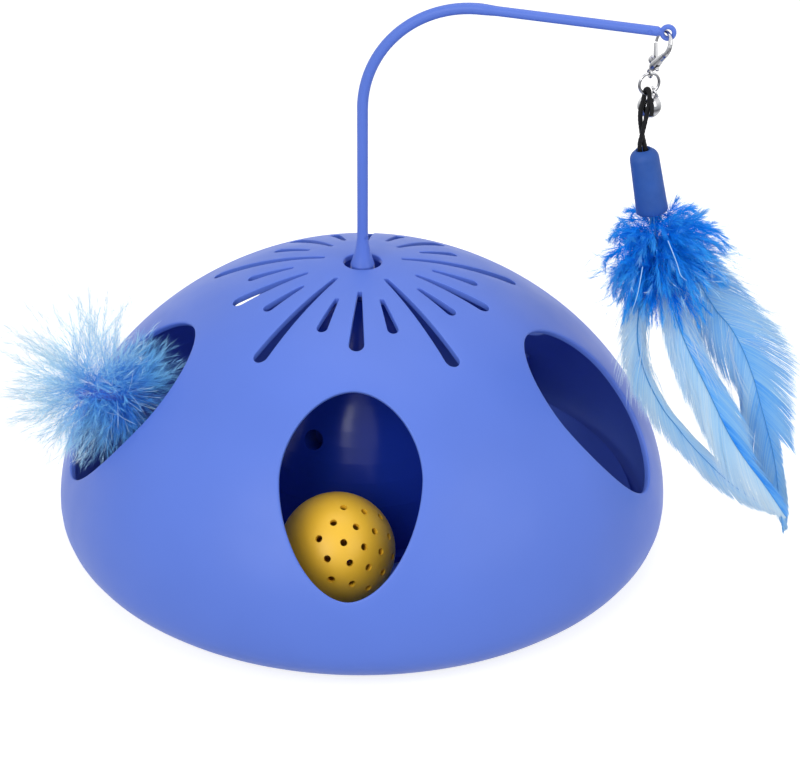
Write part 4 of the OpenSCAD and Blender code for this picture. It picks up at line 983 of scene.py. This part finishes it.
class FEATHERTOY_OT_collar(bpy.types.Operator):
    """Gathers the collar of down under the sleeve"""
    bl_idname = "feathertoy.collar"
    bl_label = "Feather collar"

    def execute(self, context):
        settings = context.scene.feather_toy.lure
        rng = random.Random(11)
        fibres, wisps = Fibres(), Fibres()
        middle = Vector((0, 0, COLLAR_Z))
        for _ in range(settings.collar_plumes):
            direction = any_direction(rng)
            level = Vector((direction.x, direction.y, 0))
            square = (level.length ** 3 + abs(direction.z) ** 3) ** (-1 / 3)
            size = Vector((COLLAR_HALF_X + COLLAR_SKEW * direction.x, COLLAR_HALF, COLLAR_HALF))
            tip = middle + size * direction * (square * rng.uniform(0.72, 0.98))
            root = Vector((0, 0, BOUND_Z - rng.uniform(0, BOUND_LEN))) + level * rng.uniform(1, 4)
            if direction.z < -0.3:
                root.z -= 8
            deep = rng.uniform(0.0, 0.24)
            bow = Vector((direction.x, direction.y, 0.35)) * rng.uniform(1, 4)
            add_plume(fibres, rng, root, tip, bow, barbs=112, reach=8.5, width=0.16,
                      tints=(deep, deep + rng.uniform(0.35, 0.65)))
        for _ in range(INNER_PLUMES):
            tip = middle + any_direction(rng) * rng.uniform(12, 18)
            add_plume(fibres, rng, middle.lerp(tip, 0.2), tip, any_direction(rng) * 2,
                      barbs=66, reach=9, width=0.3, tints=(0.0, 0.4))
        for p in fibres.points:
            if math.hypot(p.x, p.y) < NECK_R:
                p.z = min(p.z, NECK_Z)
        bound = Vector((0, 0, WISP_Z))
        for _ in range(LOW_WISPS):
            direction = any_direction(rng)
            direction.z = -abs(direction.z) * 0.6 + 0.1
            direction.normalize()
            tip = Vector((0, 0, WISP_Z - 5)) + direction * rng.uniform(23, 30)
            add_plume(wisps, rng, bound + direction * 10, tip, any_direction(rng) * 3,
                      barbs=26, reach=7, width=0.11, tints=(0.4, 1.0))
        for _ in range(SIDE_WISPS):
            direction = Vector((1, rng.uniform(-0.7, 0.4), rng.uniform(-0.3, 0.25))).normalized()
            tip = Vector((0, 0, WISP_Z - 3)) + direction * rng.uniform(27, 35)
            add_plume(wisps, rng, bound + direction * 14, tip, any_direction(rng) * 3,
                      barbs=16, reach=9, width=0.1, tints=(0.5, 1.0))
        for knots in PALE_SHAFTS:
            wisps.add(smooth_path(knots, 4), 0.32, Vector((1, 0, 0)), (0.9, 1.0), taper=0.5)
        down = feather_down("collar_down", (0.0, settings.collar_root),
                            (0.35, settings.collar_middle), (0.68, settings.collar_tip),
                            (1.0, settings.collar_end))
        for tuft, name, replaces in ((fibres, "collar_tufts", ("collar_puff",)),
                                     (wisps, "collar_wisps", ())):
            tuft.points = [SLEEVE_FRAME @ p for p in tuft.points]
            tuft.make(name, down, "lure", "collar_feather", replaces)
        return {'FINISHED'}


# Each shaft: (distance along the wand's arm, height) of its knots
BROAD = ((104.0, 140.0), (109.5, 131.0), (116.5, 120.0), (122.0, 110.5), (128.0, 101.0),
         (133.5, 94.5), (138.8, 85.5), (143.8, 73.5), (147.8, 61.0), (151.3, 50.0), (155.0, 36.5),
         (158.0, 20.5), (161.0, 5.0))
MIDDLE = ((103.5, 140.0), (107.0, 122.0), (113.0, 104.0), (119.0, 90.0), (128.0, 73.0),
          (136.8, 56.4), (144.3, 45.6), (151.6, 36.5), (160.0, 25.0))
NARROW = ((102.8, 139.5), (102.5, 119.0), (101.0, 103.0), (101.2, 88.0), (105.0, 74.4),
          (111.6, 61.9), (117.4, 54.4), (125.5, 44.8), (138.6, 32.4), (150.0, 25.0), (157.5, 20.5))
HANG_Z = 140.0

# Each vane: its width along the shaft, its barbs' angle at root and tip, its tint at both
VANES = {
    "feather_broad": (
        (((0, 3), (0.1, 12), (0.2, 16), (0.35, 17), (0.5, 16), (0.65, 12), (0.75, 8), (0.82, 5),
          (0.9, 2.2), (0.96, 0.8), (1, 0.2)), (38, 18), (0.42, 0.34)),
        (((0, 4), (0.1, 12), (0.2, 19), (0.27, 21), (0.33, 19), (0.4, 17.5), (0.47, 15.8),
          (0.56, 12.8), (0.645, 10.4), (0.66, 5), (0.75, 3.8), (0.86, 4.6), (0.95, 2.3),
          (0.98, 0.9), (1, 0.2)), (54, 20), (0.40, 0.26))),
    "feather_middle": (
        (((0, 2), (0.15, 6), (0.3, 9.5), (0.45, 12), (0.65, 11.5), (0.8, 8), (0.92, 3.4), (1, 0.4)),
         (29, 20), (0.55, 0.66)),
        (((0, 3), (0.15, 8), (0.3, 10), (0.5, 10.5), (0.62, 8.5), (0.7, 4.6), (0.86, 4.2),
          (0.95, 2.2), (1, 0.4)), (28, 19), (0.50, 0.02))),
    "feather_narrow": (
        (((0, 2), (0.15, 7), (0.4, 7.5), (0.7, 7.2), (0.88, 4.2), (0.96, 1.8), (1, 0.4)),
         (31, 20), (0.52, 0.58)),
        (((0, 2), (0.2, 5.5), (0.5, 5.6), (0.8, 6), (0.92, 3), (1, 0.4)), (25, 17), (0.46, 0.52))),
}
FACING = Vector((0, 1, 0))
BARE_SHARE, TANGENT_RUN, BARB_STEPS = 0.12, 9.0, 6
LOOSE_BARBS, LOOSE_END = 70, 0.42


def along_table(table, share):
    """A value between the rows of a table."""
    for (a, low), (b, high) in zip(table, table[1:]):
        if share <= b:
            return low + (high - low) * (share - a) / (b - a)
    return table[-1][1]


class FEATHERTOY_OT_feathers(bpy.types.Operator):
    """Grows the three long feathers barb by barb"""
    bl_idname = "feathertoy.feathers"
    bl_label = "Long feathers"

    def execute(self, context):
        settings = context.scene.feather_toy.lure
        shaft = moulded_plastic("feather_shaft", settings.shaft_colour, 0.5, texture=0.05,
                                gloss=0.2)
        pale = feather_down("feather_vane", (0.0, settings.vane_deep), (0.25, settings.vane_root),
                            (0.6, settings.vane_tip), (1.0, settings.vane_end))
        for name, line, side, lean, seed in (
                ("feather_broad", BROAD, 1.9, -4, 3), ("feather_middle", MIDDLE, -1.9, 3, 5),
                ("feather_narrow", NARROW, 0, 0, 7)):
            place = WAND_FRAME @ shift(0, side, HANG_Z) @ turn('X', -lean) @ shift(0, 0, -HANG_Z)
            path = smooth_path([(u, 0, z) for u, z in line], 12)
            fibres = self.grow(path, VANES[name], seed, settings.barb_step / MM)
            fibres.points = [place @ p for p in fibres.points]
            fibres.make(name + "_vane", pale, "lure", "long_feather", (name,))
            radii = [0.28 - 0.2 * i / (len(path) - 1) for i in range(len(path))]
            rod = sweep([p - 0.1 * FACING for p in path], radii, 8)
            make_piece(name + "_shaft", moved(rod, place), shaft, "lure")
        return {'FINISHED'}

    def grow(self, path, vanes, seed, step):
        """Two rows of barbs along a shaft that cling into locks, and loose barbs near its root."""
        rng = random.Random(seed)
        fibres = Fibres()
        run = 0.0
        stations = []
        for a, b in zip(path, path[1:]):
            piece = (b - a).length
            while run < piece:
                stations.append(a.lerp(b, run / piece))
                run += step
            run -= piece
        count = len(stations)
        near = int(TANGENT_RUN / step)
        runs = [(stations[min(i + near, count - 1)] - stations[max(i - near, 0)]).normalized()
                for i in range(count)]
        for hand, (widths, angles, tints) in zip((1, -1), vanes):
            lock_end = 0
            for i, (p, along) in enumerate(zip(stations, runs)):
                share = i / count
                if share < BARE_SHARE:
                    continue
                if i >= lock_end:
                    lock = rng.randint(30, 150)
                    lock_start, lock_end = i, i + lock
                    lock_pull = rng.uniform(0.0, 0.16)
                    lock_reach = rng.uniform(0.94, 1.04)
                    lock_lift = rng.uniform(-0.8, 0.8)
                    lock_shade = rng.uniform(-0.1, 0.1)
                angle = math.radians(angles[0] + (angles[1] - angles[0]) * share)
                reach = along_table(widths, share) / math.sin(angle)
                reach *= lock_reach * rng.uniform(0.84, 1.02)
                loose = rng.random() < 0.12
                if loose:
                    reach *= rng.uniform(1.04, 1.3)
                gather = (lock_start + 0.5 * lock - i) * step * lock_pull
                lift = lock_lift + rng.uniform(-0.3, 0.3)
                tint = tints[0] + (tints[1] - tints[0]) * share
                tint += lock_shade + rng.uniform(-0.11, 0.11)
                edge = tint + (0.5 if loose else 0.25)
                self.add_barb(fibres, p, along, hand, reach, angle, (0.14, 0.10), gather, (0, lift),
                              0.14 if loose else 0.27, (max(0, tint), min(1, edge)))
            longest = 34 if angles[0] > 35 else 23
            for _ in range(LOOSE_BARBS):
                share = rng.uniform(BARE_SHARE, LOOSE_END)
                p, along = stations[int(share * count)], runs[int(share * count)]
                angle = math.radians(rng.uniform(0.7, 1.2) * angles[0])
                row = (5 + along_table(widths, share)) / math.sin(math.radians(angles[0]))
                reach = min(rng.uniform(1.0, 1.5) * row, longest)
                lift = rng.uniform(-2.5, 2.5)
                self.add_barb(fibres, p, along, hand, reach, angle, (0.1, 0.22), 0, (lift, 0),
                              0.15, (rng.uniform(0.5, 0.8), 1.0))
        return fibres

    def add_barb(self, fibres, root, along, hand, reach, angle, curve, gather, lift, width, tints):
        """One barb: curve bends it on and in, gather draws its tip along, lift raises it."""
        out = Vector((along.z, 0, -along.x)) * hand
        knots = []
        for k in range(BARB_STEPS + 1):
            t = k / BARB_STEPS
            ahead = reach * (math.cos(angle) * t + curve[0] * t * t) + gather * t * t
            away = reach * (math.sin(angle) * t - curve[1] * t * t)
            raised = lift[0] * t + lift[1] * t * t
            knots.append(root + along * ahead + out * away + FACING * raised)
        flat = (knots[BARB_STEPS // 2] - knots[0]).cross(FACING).normalized()
        fibres.add(knots, width, flat, tints, taper=0.5)


EDGE_PLUMES, LOW_PLUMES, CURLS, PUFF_TILT = 80, 18, 44, 20.0


class FEATHERTOY_OT_puff(bpy.types.Operator):
    """Fluffs the down puff in the side opening"""
    bl_idname = "feathertoy.puff"
    bl_label = "Side puff"

    def execute(self, context):
        settings = context.scene.feather_toy.puff
        rng = random.Random(23)
        fibres = Fibres()
        heart = Vector((0, 0, 1))
        tilt = math.radians(PUFF_TILT)
        outwards = Vector((math.cos(tilt), 0, math.sin(tilt)))
        # Down all round the stem's end, longer and paler towards the opening
        made = 0
        while made < settings.plumes:
            direction = any_direction(rng)
            free = direction.dot(outwards)
            if free < -0.85 or (free < 0.1 and rng.random() < 0.3):
                continue
            made += 1
            flank = max(0.0, (abs(direction.y) - 0.4) / 0.6)
            reach = (28 + 22 * max(free, 0) ** 0.8) * rng.uniform(0.7, 1.0) * (1 - 0.4 * flank)
            along_stem = Vector((rng.uniform(0, 14) if free > 0.1 else 0, 0, 0))
            root = heart + along_stem + direction * rng.uniform(0.5, 3)
            pale = reach / 36 * (1 - 0.5 * flank) * (1 if free > 0.1 else 0.6)
            add_plume(fibres, rng, root, heart + direction * reach, any_direction(rng) * 2.5,
                      barbs=int(54 - 14 * flank), reach=11 - 4 * flank, width=0.11,
                      tints=(0.04, pale))
        # Fine pale plumes past its edge
        made = 0
        while made < EDGE_PLUMES:
            direction = any_direction(rng)
            free = direction.dot(outwards)
            if free < 0.2 or abs(direction.y) > 0.75:
                continue
            made += 1
            reach = (30 + 20 * free ** 0.8) * rng.uniform(0.95, 1.12)
            reach *= 1 - 0.35 * abs(direction.y)
            add_plume(fibres, rng, heart + direction * 0.5 * reach, heart + direction * reach,
                      any_direction(rng) * 3, barbs=24, reach=8, width=0.09, tints=(0.5, 1.1))
        # Plumes that hang below it
        for _ in range(LOW_PLUMES):
            direction = Vector((rng.uniform(0.15, 0.5), rng.uniform(-0.3, 0.75), -0.9)).normalized()
            reach = rng.uniform(23, 30)
            add_plume(fibres, rng, heart + direction * 7, heart + direction * reach,
                      any_direction(rng) * 2, barbs=34, reach=7, width=0.1, tints=(0.25, 0.6))
        # Curly strands at the inner side
        for _ in range(CURLS):
            direction = Vector((rng.uniform(-1.0, 0.2), rng.uniform(0.35, 1),
                                rng.uniform(-0.7, 0.7))).normalized()
            across = direction.cross(any_direction(rng)).normalized()
            reach, curl = rng.uniform(17, 28), rng.uniform(-16, 16)
            path = [heart + direction * (8 + (reach - 8) * t) + across * (curl * t * (t - 0.45))
                    for t in (k / 9 for k in range(10))]
            fibres.add(path, 0.18, direction.cross(across), (0.45, 0.75), taper=0.4)
        fibres.points = [STEM_FRAME @ p for p in fibres.points]
        down = feather_down("puff_down", (0.0, settings.root), (0.28, settings.middle),
                            (0.66, settings.tip), (1.0, settings.end))
        fibres.make("puff_tufts", down, "housing", "puff_feather", ("side_puff",))
        return {'FINISHED'}


class FEATHERTOY_OT_ball(bpy.types.Operator):
    """Finishes the rattling ball"""
    bl_idname = "feathertoy.ball"
    bl_label = "Ball"

    def execute(self, context):
        settings = context.scene.feather_toy.ball
        yellow = moulded_plastic("ball_plastic", settings.colour, 0.45, texture=0.2)
        finish_nodes(yellow, "ball_half_a", "ball_half_b", "ball_rattle")
        return {'FINISHED'}


class FEATHERTOY_OT_stage(bpy.types.Operator):
    """Lays the pale floor and sets the soft light"""
    bl_idname = "feathertoy.stage"
    bl_label = "Stage"

    def execute(self, context):
        settings = context.scene.feather_toy.stage
        scene = context.scene
        scene.view_settings.view_transform = 'Standard'
        half, glow_seen, glow_lit = 6.0, 0.74, 0.0
        mesh = bpy.data.meshes.new("floor")
        mesh.from_pydata([(-half, -half, 0), (half, -half, 0), (half, half, 0), (-half, half, 0)],
                         [], [(0, 1, 2, 3)])
        put("floor", mesh)
        material, tree, shader = new_finish("pale_floor")
        shader.inputs["Base Color"].default_value = (*settings.floor_colour, 1)
        shader.inputs["Roughness"].default_value = 0.9
        shader.inputs["Specular IOR Level"].default_value = 0.0
        glow = tree.nodes.new("ShaderNodeEmission")
        tree.links.new(self.seen(tree, glow_seen, glow_lit), glow.inputs["Strength"])
        both = tree.nodes.new("ShaderNodeAddShader")
        tree.links.new(shader.outputs["BSDF"], both.inputs[0])
        tree.links.new(glow.outputs["Emission"], both.inputs[1])
        tree.links.new(both.outputs["Shader"], tree.nodes["Material Output"].inputs["Surface"])
        mesh.materials.append(material)
        world = bpy.data.worlds.new("studio")
        scene.world = world
        world.use_nodes = True
        sky = world.node_tree.nodes["Background"]
        sky.inputs["Color"].default_value = (1, 1, 1, 1)
        world.node_tree.links.new(self.seen(world.node_tree, 1.0, settings.sky),
                                  sky.inputs["Strength"])
        self.lamp("key", (-0.62, -1.2, 0.88), 0.9, settings.key_power)
        self.lamp("fill", (0.95, -0.75, 0.75), 0.9, settings.fill_power)
        self.lamp("top", (0.05, 0.35, 1.35), 1.0, settings.fill_power)
        return {'FINISHED'}

    def seen(self, tree, looked_at, otherwise):
        """A strength for rays that show the background, and another for light."""
        rays = tree.nodes.new("ShaderNodeLightPath")
        total = rays.outputs["Is Camera Ray"]
        for ray in ("Is Glossy Ray", "Is Transmission Ray"):
            either = tree.nodes.new("ShaderNodeMath")
            either.operation = 'MAXIMUM'
            tree.links.new(total, either.inputs[0])
            tree.links.new(rays.outputs[ray], either.inputs[1])
            total = either.outputs[0]
        return mapped(tree, total, otherwise, looked_at)

    def lamp(self, name, place, size, power):
        """A square soft lamp aimed at the toy."""
        data = bpy.data.lights.new(name, 'AREA')
        data.energy = power
        data.size = size
        lamp = put(name, data)
        lamp.location = place
        aim = Vector((0.02, 0, 0.07)) - Vector(place)
        lamp.rotation_euler = aim.to_track_quat('-Z', 'Y').to_euler()


class FEATHERTOY_PT_panel(bpy.types.Panel):
    """Lists the toy's pieces and settings"""
    bl_label = "Feather Toy"
    bl_idname = "FEATHERTOY_PT_panel"
    bl_space_type = 'VIEW_3D'
    bl_region_type = 'UI'
    bl_category = "Feather Toy"

    def draw(self, context):
        toy = context.scene.feather_toy
        for group in (toy.dome, toy.lure, toy.puff, toy.ball, toy.stage):
            box = self.layout.box()
            for name in group.bl_rna.properties.keys():
                if name not in {"rna_type", "name"}:
                    box.prop(group, name)
        for maker in MAKERS:
            self.layout.operator(maker.bl_idname)


SETTINGS = (DomeSettings, LureSettings, PuffSettings, BallSettings, StageSettings, ToySettings)
MAKERS = (FEATHERTOY_OT_camera, FEATHERTOY_OT_cord, FEATHERTOY_OT_dome, FEATHERTOY_OT_drive,
          FEATHERTOY_OT_clasp, FEATHERTOY_OT_sleeve, FEATHERTOY_OT_collar,
          FEATHERTOY_OT_feathers, FEATHERTOY_OT_puff, FEATHERTOY_OT_ball, FEATHERTOY_OT_stage)


def register():
    for kind in (*SETTINGS, *MAKERS, FEATHERTOY_PT_panel):
        bpy.utils.register_class(kind)
    bpy.types.Scene.feather_toy = PointerProperty(type=ToySettings)


def unregister():
    del bpy.types.Scene.feather_toy
    for kind in reversed((*SETTINGS, *MAKERS, FEATHERTOY_PT_panel)):
        bpy.utils.unregister_class(kind)


def main():
    register()
    bpy.ops.feathertoy.camera()
    bpy.ops.feathertoy.cord()
    bpy.ops.feathertoy.dome()
    bpy.ops.feathertoy.drive()
    bpy.ops.feathertoy.clasp()
    bpy.ops.feathertoy.sleeve()
    bpy.ops.feathertoy.collar()
    bpy.ops.feathertoy.feathers()
    bpy.ops.feathertoy.puff()
    bpy.ops.feathertoy.ball()
    bpy.ops.feathertoy.stage()


if __name__ == "__main__":
    main()
